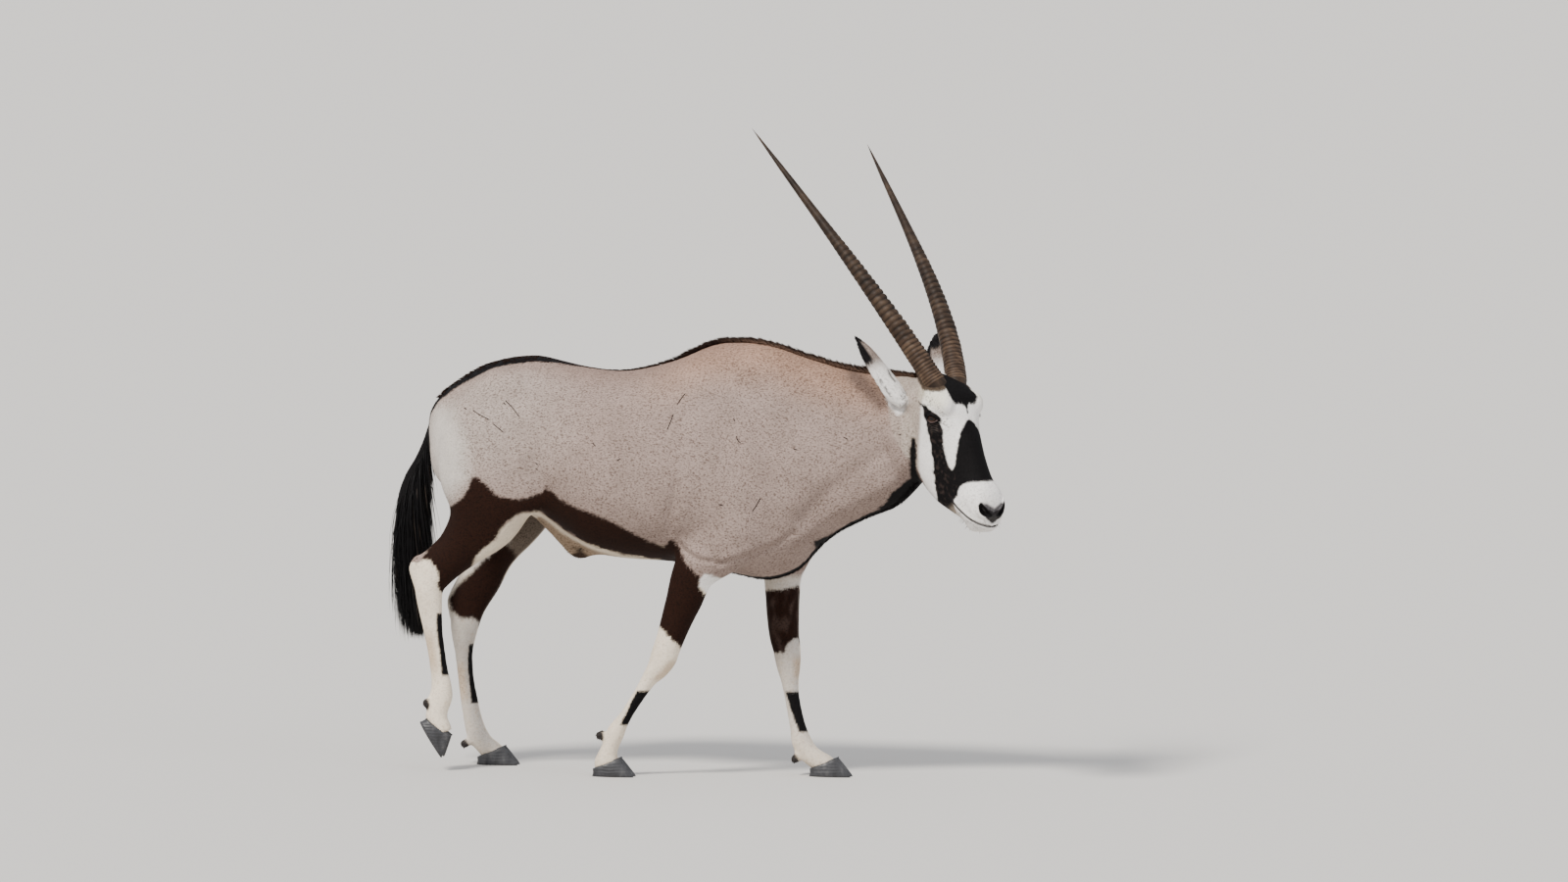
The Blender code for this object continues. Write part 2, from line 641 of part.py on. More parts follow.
def wedge(planes, grow):
    """A convex block inside all the planes, each given by a point and its outward direction."""
    shape = bmesh.new()
    bmesh.ops.create_cube(shape, size=6.0)
    for point, outward in planes:
        outward = Vector(outward).normalized()
        everything = [*shape.verts, *shape.edges, *shape.faces]
        bmesh.ops.bisect_plane(shape, geom=everything, plane_co=Vector(point) + outward * grow,
                               plane_no=outward, clear_outer=True)
        open_edges = [edge for edge in shape.edges if edge.is_boundary]
        bmesh.ops.holes_fill(shape, edges=open_edges)
    bmesh.ops.recalc_face_normals(shape, faces=shape.faces)
    block = bpy.data.meshes.new("wedge")
    shape.to_mesh(block)
    shape.free()
    return block


def horn_place(share, side):
    """The middle of a horn at that share of its length, and the way it runs there."""
    steps = np.linspace(0.0, share, 24)
    bend = 1 - (1 - np.clip(steps, 0, 1)) ** 3
    lean = HORN_LEAN[0] + (HORN_LEAN[1] - HORN_LEAN[0]) * bend
    spread = HORN_SPREAD[0] + (HORN_SPREAD[1] - HORN_SPREAD[0]) * bend
    ways = np.stack([-np.cos(lean) * np.cos(spread), side * np.sin(spread),
                     -np.sin(lean) * np.cos(spread)], axis=1)
    root = Vector((HORN_ROOT.x, side * HORN_ROOT.y, HORN_ROOT.z))
    return root + Vector(ways.mean(axis=0)) * HORN_LENGTHS[side] * share, Vector(ways[-1])


def horn(side):
    """A long straight horn, ringed over its lower part and smooth to the tip."""
    points = []
    step = RING_STEP / HORN_LENGTHS[side]
    shares = [-0.02, 0.0]
    while shares[-1] + step < RING_SHARE:
        shares += [shares[-1] + 0.55 * step, shares[-1] + step]
    shares += list(np.linspace(RING_SHARE + 0.03, 0.97, 6)) + [1.0]
    turn = np.linspace(0, 2 * math.pi, HORN_SIDES, endpoint=False)
    for i, share in enumerate(shares):
        centre, along = horn_place(share, side)
        radius = np.interp(share, *zip(*HORN_RADII))
        crest = 0 < share < RING_SHARE and i % 2 == 1
        trough = 0 < share < RING_SHARE and not crest
        fade = 1 - 0.5 * share / RING_SHARE
        radius += fade * (RING_RISE if crest else -RING_RISE * 0.5 if trough else 0.0)
        across = along.cross(Vector((0, 0, 1))).normalized()
        other = along.cross(across)
        points.append([centre + across * math.cos(a) * radius + other * math.sin(a) * radius
                       for a in turn])
    rings = [np.array(ring) for ring in points]
    return new_mesh("horn", *placed(closed_loft(rings), HEAD))


def ear(side):
    """A leaf-shaped cup on a narrow root, open to the side and a little forward."""
    along = Vector((EAR_AXIS.x, side * EAR_AXIS.y, EAR_AXIS.z))
    face = Vector((EAR_OPEN.x, side * EAR_OPEN.y, EAR_OPEN.z))
    face = (face - along * face.dot(along)).normalized()
    across = along.cross(face)
    root = Vector((EAR_ROOT.x, side * EAR_ROOT.y, EAR_ROOT.z))
    rings = []
    for share in EAR_SHARES:
        half = np.interp(share, *zip(*EAR_WIDTHS))
        reach = np.interp(share, *zip(*EAR_WRAPS))
        thick = np.interp(share, *zip(*EAR_THICKS))
        radius = half / math.sin(min(reach, math.pi / 2))
        middle = root + along * EAR_LENGTH * share - face * EAR_BOW * math.sin(math.pi * share)
        angles = np.linspace(-reach, reach, EAR_STEPS)
        ring = [middle + face * (half * 0.7 - math.cos(a) * radius) + across * math.sin(a) * radius
                for a in angles]
        inner = radius - thick
        ring += [middle + face * (half * 0.7 - math.cos(a) * inner) + across * math.sin(a) * inner
                 for a in angles[::-1]]
        rings.append(np.array(ring))
    return new_mesh("ear", *placed(closed_loft(rings), HEAD))


def eye(side):
    """An eyeball."""
    centre = Vector((EYE_CENTRE.x, side * EYE_CENTRE.y, EYE_CENTRE.z))
    return new_mesh("eye", *placed(ball(centre, (EYE_RADIUS,) * 3, 0.0, 2), HEAD))


def claw(foot, side):
    """One of the two horny claws of a foot; side 1 is the left one."""
    turn = np.linspace(0, 2 * math.pi, CLAW_SIDES, endpoint=False)
    rings = []
    for share in (0.0, 0.12, 0.55, 1.0):
        heel = np.interp(share, (0, 1), CLAW_HEEL)
        toe = np.interp(share, (0, 1), CLAW_TOE)
        half = np.interp(share, (0, 0.12, 1), CLAW_HALF)
        x = (heel + toe) / 2 + (toe - heel) / 2 * np.cos(turn)
        pinch = 1 - 0.30 * np.cos(turn) - 0.12 * np.cos(turn) ** 2
        y = side * (CLEFT / 2 + half) + half * np.sin(turn) * pinch
        z = share * (CORONET_HEIGHT + CORONET_SLOPE * x - GAP)
        rings.append(np.stack([x, y, z], axis=1))
    place, pitch = FEET[foot]
    matrix = Matrix.Translation(place) @ Matrix.Rotation(pitch, 4, "Y")
    return new_mesh("claw", *placed(closed_loft(rings), matrix))


def coronet_planes(foot):
    """The plane that parts a leg from its claws, facing the ground."""
    place, pitch = FEET[foot]
    matrix = Matrix.Translation(place) @ Matrix.Rotation(pitch, 4, "Y")
    down = matrix.to_3x3() @ Vector((CORONET_SLOPE, 0, -1))
    return [(matrix @ Vector((0, 0, CORONET_HEIGHT)), down)]


def lock(root, ways, length, halves, face):
    """(points, faces) of a flat, tapered lock that bends from its first way to its second."""
    rings = []
    for share, size in ((0.0, 0.75), (0.3, 1.0), (0.65, 0.8), (1.0, 0.08)):
        centre = root + (ways[0] * share + (ways[1] - ways[0]) * share ** 2 / 2) * length
        along = ways[0].lerp(ways[1], share).normalized()
        across = along.cross(face).normalized()
        out = across.cross(along)
        wide, thick = halves[0] * size, halves[1] * size
        rings.append(np.array([centre + across * wide, centre + out * thick,
                               centre - across * wide, centre - out * thick]))
    return closed_loft(rings)


def mane():
    """Short locks along the crest of the neck, leaning back."""
    draw = random.Random(11)
    xs, ys, tops = (np.array([row[i] for row in TRUNK]) for i in (0, 1, 2))
    for i in range(MANE_LOCKS):
        share = (i + 0.5) / MANE_LOCKS
        x = MANE_REACH[0] + (MANE_REACH[1] - MANE_REACH[0]) * share
        fan = (i % 3 - 1) * 0.30 + draw.uniform(-0.08, 0.08)
        root = Vector((x, np.interp(x, xs, ys) + fan * 0.018, np.interp(x, xs, tops) - LOCK_SINK))
        lean = -0.75 + draw.uniform(-0.1, 0.1)
        ways = (Vector((lean * 0.6, fan, 1.0)).normalized(), Vector((lean * 1.3, fan, 1.0)).normalized())
        size = (0.75 + 0.25 * share) * draw.uniform(0.85, 1.1)
        yield lock(root, ways, MANE_LENGTH * size, MANE_HALF, Vector((0, 1, 0.1)))


def tail():
    """The dock, and the tuft of long locks that hang from it."""
    draw = random.Random(7)
    core = limb_loft(TAIL, 1, 2, 12)
    rows = smooth_rows(TAIL, 4)[::-1]
    locks = []
    for i in range(TUFT_LOCKS):
        share = (i + draw.random()) / TUFT_LOCKS
        height = TUFT_ROOTS[0] + (TUFT_ROOTS[1] - TUFT_ROOTS[0]) * share
        x, deep, wide = (np.interp(height, rows[:, 2], rows[:, k]) for k in (0, 3, 4))
        turn = i * GOLDEN_TURN + draw.uniform(-0.2, 0.2)
        out = Vector((math.cos(turn), math.sin(turn), 0))
        root = Vector((x + out.x * deep * 0.6, out.y * wide * 0.6, height))
        flare = TUFT_FLARE[0] + (TUFT_FLARE[1] - TUFT_FLARE[0]) * share
        back = out.x if out.x < 0 else out.x * FRONT_SPREAD
        ways = (Vector((back * flare, out.y * flare * 0.5, -1)).normalized(),
                Vector((TIP_TURN[0] - back * TIP_TURN[1], -out.y * 0.2, -1)).normalized())
        length = min(TUFT_LENGTH * draw.uniform(0.8, 1.05), (height - TUFT_END) * 1.06)
        locks.append(new_mesh("lock", *lock(root, ways, length, TUFT_HALF, out)))
    return largest_shell(combined(new_mesh("tail", *core), "UNION", locks))


def on_skin(tree, place, side):
    """The nearest point of the head's surface to a place in the head's frame, and its normal."""
    found, normal, _, _ = tree.find_nearest(HEAD @ Vector((place[0], side * place[1], place[2])))
    return found, normal


def mouth_slit(tree):
    """A thin blade round the muzzle that cuts the line of the mouth."""
    rings = []
    path = [(place, 1) for place in MOUTH] + [(place, -1) for place in MOUTH[-2::-1]]
    spots = [on_skin(tree, place, side) for place, side in path]
    for i, (spot, normal) in enumerate(spots):
        ahead = spots[min(i + 1, len(spots) - 1)][0] - spots[max(i - 1, 0)][0]
        edge = ahead.cross(normal).normalized() * MOUTH_HALF
        out = spot + normal * MOUTH_DEPTH
        inner = spot - normal * MOUTH_DEPTH
        rings.append(np.array([out + edge, out - edge, inner - edge, inner + edge]))
    return new_mesh("mouth", *closed_loft(rings))


def nostril(tree, side):
    """A slanting oval that cuts one nostril."""
    spot, normal = on_skin(tree, NOSTRIL, side)
    turn = Matrix.Rotation(side * NOSTRIL_TURN, 4, "Z")
    frame = (Matrix.Translation(HEAD.inverted() @ spot) @ turn)
    return new_mesh("nostril", *placed(ball((0, 0, 0), NOSTRIL_SIZES, 0.0, 2), HEAD @ frame))


def eye_ring(side, out, grow):
    """Points round the eye's opening, at that distance out of the eyeball's centre."""
    way = Vector((EYE_WAY.x, side * EYE_WAY.y, EYE_WAY.z))
    long = Vector((math.cos(EYE_TILT), 0, -math.sin(EYE_TILT)))
    long = (long - way * long.dot(way)).normalized()
    high = way.cross(long)
    centre = Vector((EYE_CENTRE.x, side * EYE_CENTRE.y, EYE_CENTRE.z)) + way * out
    points = []
    for turn in np.linspace(0, 2 * math.pi, 12, endpoint=False):
        corner = abs(math.cos(turn)) ** 1.5
        points.append(centre + long * math.cos(turn) * (EYE_OPENING[0] + grow)
                      + high * math.sin(turn) * (EYE_OPENING[1] + grow) * (1 - 0.25 * corner)
                      - way * 0.003 * corner)
    return points


def lids(side):
    """A rounded rim round the eye."""
    middle, points, faces = eye_ring(side, LID_OUT, LID_THICK * 0.6), [], []
    way = Vector((EYE_WAY.x, side * EYE_WAY.y, EYE_WAY.z))
    centre = sum(middle, Vector()) / len(middle)
    for i, spot in enumerate(middle):
        away = (spot - centre).normalized()
        for j in range(6):
            a = j * math.pi / 3
            points.append(spot + (away * math.cos(a) + way * math.sin(a)) * LID_THICK)
            k = (i + 1) % len(middle) * 6
            faces.append((i * 6 + j, i * 6 + (j + 1) % 6, k + (j + 1) % 6, k + j))
    return new_mesh("lids", *placed((np.array(points), faces), HEAD))


def eye_opening(side):
    """A flared plug that opens the skin in front of the eye."""
    rings = [np.array(eye_ring(side, out, grow)) for out, grow in ((0.0, -0.004), (LID_OUT, -0.0005),
                                                                  (0.034, 0.010))]
    return new_mesh("opening", *placed(closed_loft(rings), HEAD))


def head_plane(outward):
    """The plane behind the jaw and the poll, facing out of the head (1) or of the neck (-1)."""
    direction = HEAD.to_3x3() @ Vector((-0.64, 0.0, -0.77)) * outward
    return (HEAD @ Vector((-0.175, 0.0, -0.125)), direction)


def leg_planes(foot, side, rear, front, top):
    """The planes of a leg: rear and front as (x at height 0, x at height 0.6), and the top."""
    (rear_low, rear_high), (front_low, front_high) = rear, front
    return [((rear_low, 0, 0), (-0.6, 0, rear_high - rear_low)),
            ((front_low, 0, 0), (0.6, 0, front_low - front_high)),
            ((0, side * 0.030, 0), (0, -side, 0)),
            ((0, side * 0.100, top), (0, -side * 0.45, 1.0)),
            *coronet_planes(foot)]


def regions():
    """Each parted node's name and the planes that bound it."""
    neck_point, neck_out = NECK_PLANE
    return {
        "head": [head_plane(1)],
        "neck": [head_plane(-1), (neck_point, neck_out)],
        "leg_fore_right": leg_planes("fore_right", -1, (-0.40, -0.065), (-0.02, 0.195), 0.640),
        "leg_fore_left": leg_planes("fore_left", 1, (0.20, 0.140), (0.60, 0.330), 0.640),
        "leg_hind_right": leg_planes("hind_right", -1, (-1.0, -1.0), (-0.385, -0.385), 0.770),
        "leg_hind_left": leg_planes("hind_left", 1, (-1.0, -1.0), (-0.385, -0.385), 0.770),
    }


def centre_on_floor():
    """Moves everything so that the origin is the middle of the bounding box's base."""
    meshes = [obj.data for obj in bpy.context.scene.objects]
    points = np.array([v.co for mesh in meshes for v in mesh.vertices])
    low, high = points.min(axis=0), points.max(axis=0)
    move = Matrix.Translation((-(low[0] + high[0]) / 2, -(low[1] + high[1]) / 2, -low[2]))
    for mesh in meshes:
        mesh.transform(move)


def main():
    remove_objects()
    hide = material("hide", (0.42, 0.34, 0.29), 0.8)
    pale = material("pale_hide", (0.75, 0.70, 0.62), 0.8)
    dark = material("dark_hide", (0.05, 0.035, 0.03), 0.8)
    horny = material("horn", (0.06, 0.05, 0.045), 0.4)
    hoof = material("hoof", (0.16, 0.15, 0.15), 0.5)
    wet = material("eye", (0.02, 0.012, 0.008), 0.08)

    points, quads = flesh(VOXEL)
    body = new_mesh("flesh", points, quads)
    fine_head = int((head_share(points[quads[:, 0]]) > 0.5).sum()) * 2
    body = thinned(body, lambda p: head_share(p) < 0.5, BODY_TRIANGLES + fine_head)
    body = thinned(body, lambda p: head_share(p) >= 0.5, BODY_TRIANGLES + HEAD_TRIANGLES)

    locks = [new_mesh("lock", *piece) for piece in mane()]
    body = largest_shell(combined(largest_shell(body), "UNION", locks))
    nodes = {}
    for name, planes in regions().items():
        nodes[name] = combined(body.copy(), "INTERSECT", [wedge(planes, -GAP / 2)])
    nodes["torso"] = combined(body, "DIFFERENCE",
                              [wedge(planes, GAP / 2) for planes in regions().values()])
    tree = BVHTree.FromPolygons([v.co for v in nodes["head"].vertices],
                                [tuple(face.vertices) for face in nodes["head"].polygons])
    slits = [mouth_slit(tree), nostril(tree, -1), nostril(tree, 1)]
    nodes["head"] = combined(nodes["head"], "UNION", [lids(-1), lids(1)])
    nodes["head"] = combined(nodes["head"], "DIFFERENCE", [*slits, eye_opening(-1), eye_opening(1)])
    tail_mesh = tail()
    nodes["torso"] = combined(nodes["torso"], "DIFFERENCE", [grown(tail_mesh, GAP)])
    shown("tail", tail_mesh, dark)
    for side_name, side in SIDES.items():
        horn_mesh, ear_mesh, eye_mesh = horn(side), ear(side), eye(side)
        roots = (horn_mesh, root_hull(ear_mesh, EAR_ROOT_RINGS * 2 * EAR_STEPS), eye_mesh)
        let_in = [grown(mesh, GAP) for mesh in roots]
        for name in ("head", "neck"):
            nodes[name] = combined(nodes[name], "DIFFERENCE", let_in)
        shown(f"horn_{side_name}", horn_mesh, horny)
        shown(f"ear_{side_name}", ear_mesh, pale)
        shown(f"eye_{side_name}", eye_mesh, wet)
        for foot in FEET:
            shown(f"claw_{foot}_{side_name}", claw(foot, side), hoof)
    for name, mesh in nodes.items():
        shown(name, largest_shell(mesh), hide)
    centre_on_floor()


main()
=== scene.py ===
"""The gemsbok bull dressed: hide, coat, mane, tail, horns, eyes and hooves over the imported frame.

Metres, +Z up. The animal faces +X and its left side is +Y. Shapes are laid out in the animal's
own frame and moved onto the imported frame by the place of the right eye.
"""
import math

import bmesh
import bpy
import numpy as np
from mathutils import Matrix, Vector, noise
from mathutils.bvhtree import BVHTree


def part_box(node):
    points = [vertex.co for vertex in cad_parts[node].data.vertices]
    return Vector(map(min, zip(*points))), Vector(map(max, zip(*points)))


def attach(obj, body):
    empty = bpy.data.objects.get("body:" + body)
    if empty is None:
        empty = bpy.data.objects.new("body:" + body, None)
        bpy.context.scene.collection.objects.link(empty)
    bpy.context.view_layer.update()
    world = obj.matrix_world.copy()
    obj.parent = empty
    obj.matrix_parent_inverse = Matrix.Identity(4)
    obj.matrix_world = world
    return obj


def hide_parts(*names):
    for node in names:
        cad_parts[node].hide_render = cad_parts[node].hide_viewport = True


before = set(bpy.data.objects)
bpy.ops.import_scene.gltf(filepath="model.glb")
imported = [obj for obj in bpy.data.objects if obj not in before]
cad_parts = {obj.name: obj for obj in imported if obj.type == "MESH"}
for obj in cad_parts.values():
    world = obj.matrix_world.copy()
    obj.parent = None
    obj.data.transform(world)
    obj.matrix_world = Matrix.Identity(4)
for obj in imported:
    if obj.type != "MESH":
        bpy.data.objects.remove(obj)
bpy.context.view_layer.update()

# The head's own frame: +X down the face to the muzzle, +Y to the animal's left, +Z out of the face.
# Its origin is on the midline of the forehead, between the eyes.
HEAD_ORIGIN = Vector((0.768, -0.160, 1.023))
HEAD_YAW = math.radians(-39.0)
HEAD_PITCH = math.radians(65.5)
HEAD = (Matrix.Translation(HEAD_ORIGIN)
        @ Matrix.Rotation(HEAD_YAW, 4, "Z") @ Matrix.Rotation(HEAD_PITCH, 4, "Y"))

# Trunk and neck, from the buttocks to behind the jaw: x, y of the middle, top, underside and
# half width in millimetres, then in hundredths how much narrower the top is than the underside
# and the section's squareness.
SECTION_UNITS = (1000, 1000, 1000, 1000, 1000, 100, 100)
TRUNK = np.array((
    (-718, 0, 965, 900, 30, 0, 200), (-693, 0, 1002, 800, 85, 10, 200), (-647, 0, 1041, 745, 130, 16, 210),
    (-555, 0, 1096, 705, 168, 22, 210), (-434, 0, 1121, 690, 186, 22, 210),
    (-354, 0, 1107, 655, 198, 12, 210), (-264, 0, 1090, 594, 215, 8, 210),
    (-170, 0, 1087, 577, 225, 8, 210), (-50, 0, 1117, 573, 222, 16, 205), (60, 0, 1166, 560, 206, 28, 200),
    (140, 0, 1175, 543, 190, 32, 200), (220, 0, 1167, 533, 172, 30, 200), (300, 0, 1142, 562, 156, 24, 200),
    (360, 0, 1124, 628, 142, 22, 205), (420, -3, 1109, 674, 130, 23, 205),
    (500, -14, 1099, 713, 116, 25, 200), (570, -34, 1098, 744, 104, 28, 200),
    (622, -56, 1092, 804, 90, 30, 200), (660, -82, 1075, 840, 70, 25, 200),
)) / SECTION_UNITS

# The head in its own frame, from the poll to the muzzle, as the trunk's rows.
SKULL = np.array((
    (-138, 0, -85, -130, 22, 0, 200), (-120, 0, -60, -160, 50, 0, 220), (-80, 1, -18, -180, 74, -4, 250),
    (-35, 2, 5, -198, 84, -6, 260), (0, 3, 4, -212, 82, -4, 250), (50, 3, -1, -228, 73, 2, 240),
    (100, 3, 1, -232, 65, 8, 230), (150, 3, 1, -219, 61, 10, 230), (200, 3, 3, -186, 59, 8, 240),
    (240, 3, 14, -148, 60, 0, 250), (270, 3, 10, -118, 58, -5, 250), (300, 2, -4, -96, 51, -5, 230),
    (322, 1, -20, -80, 36, 0, 210), (336, 0, -33, -62, 18, 0, 200),
)) / SECTION_UNITS

# Legs, from inside the trunk to the coronet: x, distance from the midline, z, half depth fore
# and aft and half width, in millimetres.
FORE_RIGHT = np.array((
    (90, 80, 1050, 55, 35), (125, 110, 960, 90, 52), (145, 132, 850, 115, 60), (150, 138, 750, 122, 60),
    (120, 138, 665, 108, 60), (68, 134, 600, 80, 55), (32, 130, 550, 61, 48), (11, 125, 485, 52, 42),
    (-6, 120, 440, 46, 38), (-26, 118, 380, 40, 34), (-37, 115, 350, 39, 34), (-46, 115, 322, 38, 35),
    (-62, 113, 293, 32, 31), (-82, 110, 268, 24.5, 25), (-100, 108, 240, 20.5, 21),
    (-131, 105, 191, 18.5, 19.5), (-148, 103, 163, 19, 20), (-165, 100, 137, 23.5, 23.5),
    (-176, 100, 115, 27, 27), (-187, 100, 85, 24.5, 26), (-195, 100, 60, 28, 30), (-197, 100, 42, 36, 34),
    (-197, 100, 20, 36, 34),
)) / 1000
FORE_LEFT = np.array((
    (120, 80, 1050, 55, 35), (170, 110, 960, 90, 52), (215, 120, 850, 112, 60), (245, 125, 750, 112, 60),
    (260, 128, 665, 94, 58), (244, 128, 600, 72, 52), (233, 124, 540, 56, 46), (234, 120, 480, 49, 41),
    (236, 118, 430, 46.5, 38), (241, 115, 375, 43, 35), (249, 112, 340, 40, 35), (253, 110, 312, 37.5, 35),
    (257, 108, 280, 32.5, 31), (260, 107, 255, 26.5, 26), (266, 106, 214, 22.5, 21.5),
    (276, 105, 165, 22.5, 21.5), (286, 104, 125, 24.5, 23.5), (296, 103, 90, 30, 29),
    (314, 102, 62, 29, 28), (338, 100, 44, 29, 31), (358, 100, 32, 31, 33), (374, 100, 20, 29, 32),
)) / 1000
HIND_RIGHT = np.array((
    (-470, 80, 1020, 90, 50), (-500, 105, 930, 150, 72), (-522, 116, 840, 152, 82),
    (-527, 120, 750, 134, 80), (-545, 120, 675, 102, 68), (-595, 116, 607, 64, 52),
    (-648, 112, 553, 50, 40), (-684, 110, 512, 47, 34), (-689, 110, 475, 39, 32), (-684, 110, 430, 34, 27),
    (-677, 110, 380, 28.5, 23), (-668, 110, 330, 26, 21.5), (-658, 110, 270, 26, 21.5),
    (-651, 110, 230, 29.5, 25), (-652, 110, 200, 34, 29), (-660, 110, 168, 31, 28),
    (-664, 110, 142, 32, 30), (-659, 110, 120, 35, 33), (-650, 110, 98, 35, 33),
)) / 1000
HIND_LEFT = np.array((
    (-470, 80, 1020, 90, 50), (-490, 105, 930, 150, 72), (-498, 116, 840, 152, 82),
    (-493, 120, 750, 134, 80), (-512, 120, 665, 96, 68), (-557, 116, 575, 62, 52), (-588, 112, 500, 54, 42),
    (-622, 110, 435, 49, 34), (-634, 110, 385, 43, 31), (-637, 110, 345, 36, 28), (-637, 110, 310, 28, 24),
    (-634, 110, 270, 24.5, 21.5), (-628, 110, 220, 24, 21), (-621, 110, 180, 25.5, 23),
    (-612, 110, 135, 26.5, 25), (-603, 110, 100, 29, 28), (-593, 110, 75, 31, 29), (-575, 110, 53, 29, 29),
    (-556, 110, 36, 32, 33), (-542, 110, 20, 32, 33),
)) / 1000
# The tendon behind each gaskin and the point of the hock, as the legs' rows.
HOCK_RIGHT = np.array((
    (-615, 114, 690, 22, 13), (-650, 112, 630, 18, 11), (-695, 110, 583, 17, 12), (-724, 110, 553, 21, 17),
    (-722, 110, 525, 21, 18), (-702, 110, 470, 20, 18),
)) / 1000
HOCK_LEFT = np.array((
    (-580, 114, 660, 22, 13), (-612, 112, 580, 18, 11), (-642, 110, 505, 17, 12), (-664, 110, 448, 21, 17),
    (-664, 110, 420, 21, 18), (-652, 110, 370, 20, 18),
)) / 1000
# The fold of skin on the belly that ends in the sheath, as the legs' rows.
SHEATH = np.array((
    (-430, 0, 720, 30, 30), (-370, 0, 668, 34, 30), (-322, 0, 612, 28, 24), (-297, 0, 590, 20, 17),
    (-268, 0, 600, 20, 22), (-200, 0, 606, 24, 24),
)) / 1000

SHEATH_TIP = np.array((-0.297, 0.0, 0.580))

# Rounded masses: centre, half sizes along x, y and z, and turn about the y axis in degrees,
# for the left side and repeated on the right. Those of the head are in its own frame.
TRUNK_MASSES = (
    ((-0.455, 0.080, 1.020), (0.120, 0.062, 0.066), 15),
    ((-0.630, 0.060, 0.880), (0.075, 0.065, 0.130), 8),
    ((-0.420, 0.150, 0.760), (0.070, 0.040, 0.070), -35),
    ((0.130, 0.045, 1.030), (0.160, 0.070, 0.110), -5),
)
HEAD_MASSES = (
    ((-0.018, 0.052, -0.025), (0.036, 0.028, 0.0325), -4),
    ((0.006, 0.056, -0.086), (0.056, 0.022, 0.016), 4),
    ((0.055, 0.040, -0.142), (0.085, 0.027, 0.068), -10),
    ((0.277, 0.020, -0.038), (0.036, 0.030, 0.034), 10),
    ((0.300, 0.012, -0.080), (0.030, 0.024, 0.020), -20),
    ((-0.076, 0.037, -0.060), (0.030, 0.030, 0.026), 0),
    ((-0.068, 0.058, -0.126), (0.034, 0.026, 0.034), 0),
)

# Dewclaws behind the fetlocks: the middle of each pair, how far apart they sit, and their sizes.
DEWCLAWS = ((-0.216, -0.100, 0.110), (0.281, 0.102, 0.045),
            (-0.688, -0.110, 0.182), (-0.628, 0.110, 0.054))
DEWCLAW_APART = 0.0165
DEWCLAW_SIZES = (0.0145, 0.0110, 0.0155)
DEWCLAW_PLACES = [(x, y + across, z) for x, y, z in DEWCLAWS for across in (-DEWCLAW_APART, DEWCLAW_APART)]

EYE_CENTRE = Vector((0.004, 0.0625, -0.0620))
EYE_RADIUS = 0.0190

# Horns: where each leaves the head, its length on the right (-1) and the left (1), and how far
# it leans back and out at its root and at its tip.
HORN_ROOT = Vector((-0.088, 0.0373, -0.0504))
HORN_LENGTHS = {-1: 0.893, 1: 0.829}
HORN_LEAN = (math.radians(6.4), math.radians(20.8))
HORN_SPREAD = (math.radians(18.1), math.radians(7.3))
# Share of the length, and radius there.
HORN_RADII = ((0.0, 0.0292), (0.12, 0.0275), (0.28, 0.0238), (0.45, 0.0188),
              (0.65, 0.0124), (0.84, 0.0076), (0.96, 0.0030), (1.0, 0.0008))
RING_SHARE = 0.62

# Ears: root, direction and open side in the head's frame, for the left ear.
EAR_ROOT = Vector((-0.0885, 0.0757, -0.1378))
EAR_AXIS = Vector((-0.911, 0.341, -0.234)).normalized()
EAR_OPEN = Vector((-0.10, 0.55, -0.83))
EAR_LENGTH = 0.206

# Feet: the frame of each, from the point of the ground under its coronet and how far its toe is
# turned down, and how high the coronet is there and how it rises towards the toe.
TOE_DOWN = math.radians(58.0)
FEET = {foot: Matrix.Translation(place) @ Matrix.Rotation(pitch, 4, "Y") for foot, place, pitch in (
    ("fore_right", (-0.197, -0.100, 0.0), 0.0), ("fore_left", (0.358, 0.100, 0.0), 0.0),
    ("hind_left", (-0.556, 0.110, 0.0), 0.0), ("hind_right", (-0.686, -0.110, 0.100), TOE_DOWN))}
CORONET_HEIGHT = 0.033
CORONET_SLOPE = 0.40

# The rings: how far apart at the horn's root and from RING_WIDEN up, and how high they stand.
RING_GAPS = (0.0070, 0.0176)
RING_WIDEN = 0.20
RING_RISE = 0.0017
# How light the horn is at shares of its length.
HORN_TINTS = ((0.0, 0.08, 0.25, 0.60, 0.85, 1.0), (0.95, 0.88, 0.52, 0.42, 0.46, 0.40))

# Along each ear, from root to tip: half width, how far the cup wraps round, and thickness.
EAR_WIDTHS = ((-0.10, 0.019), (0.02, 0.025), (0.12, 0.031), (0.25, 0.037), (0.40, 0.040),
              (0.55, 0.041), (0.70, 0.037), (0.82, 0.028), (0.92, 0.016), (1.0, 0.005))
EAR_WRAPS = ((-0.10, 2.7), (0.02, 2.5), (0.15, 2.0), (0.30, 1.65), (0.50, 1.45), (0.80, 1.2), (1.0, 1.0))
EAR_THICKS = ((-0.10, 0.010), (0.05, 0.007), (0.20, 0.0045), (0.70, 0.0035), (1.0, 0.0015))
EAR_BOW = 0.001

# Each claw: heel, toe and half width at the sole and at the coronet; the cleft between two.
CLAW_HEEL = (-0.038, -0.036)
CLAW_TOE = (0.078, 0.038)
CLAW_HALF = (0.0150, 0.0165, 0.0150)
CLEFT = 0.003

# The dock of the tail and the core of its tuft, as the legs' rows.
TAIL = np.array((
    (-672, 0, 985, 20, 20), (-700, 0, 935, 19, 19), (-721, 0, 880, 15, 16), (-741, 0, 825, 19, 18),
    (-753, 0, 785, 30, 22), (-760, 0, 735, 42, 27), (-763, 0, 675, 47, 28), (-761, 0, 610, 45, 28),
    (-755, 0, 550, 38, 24), (-745, 0, 490, 26, 18), (-737, 0, 430, 10, 9),
)) / 1000

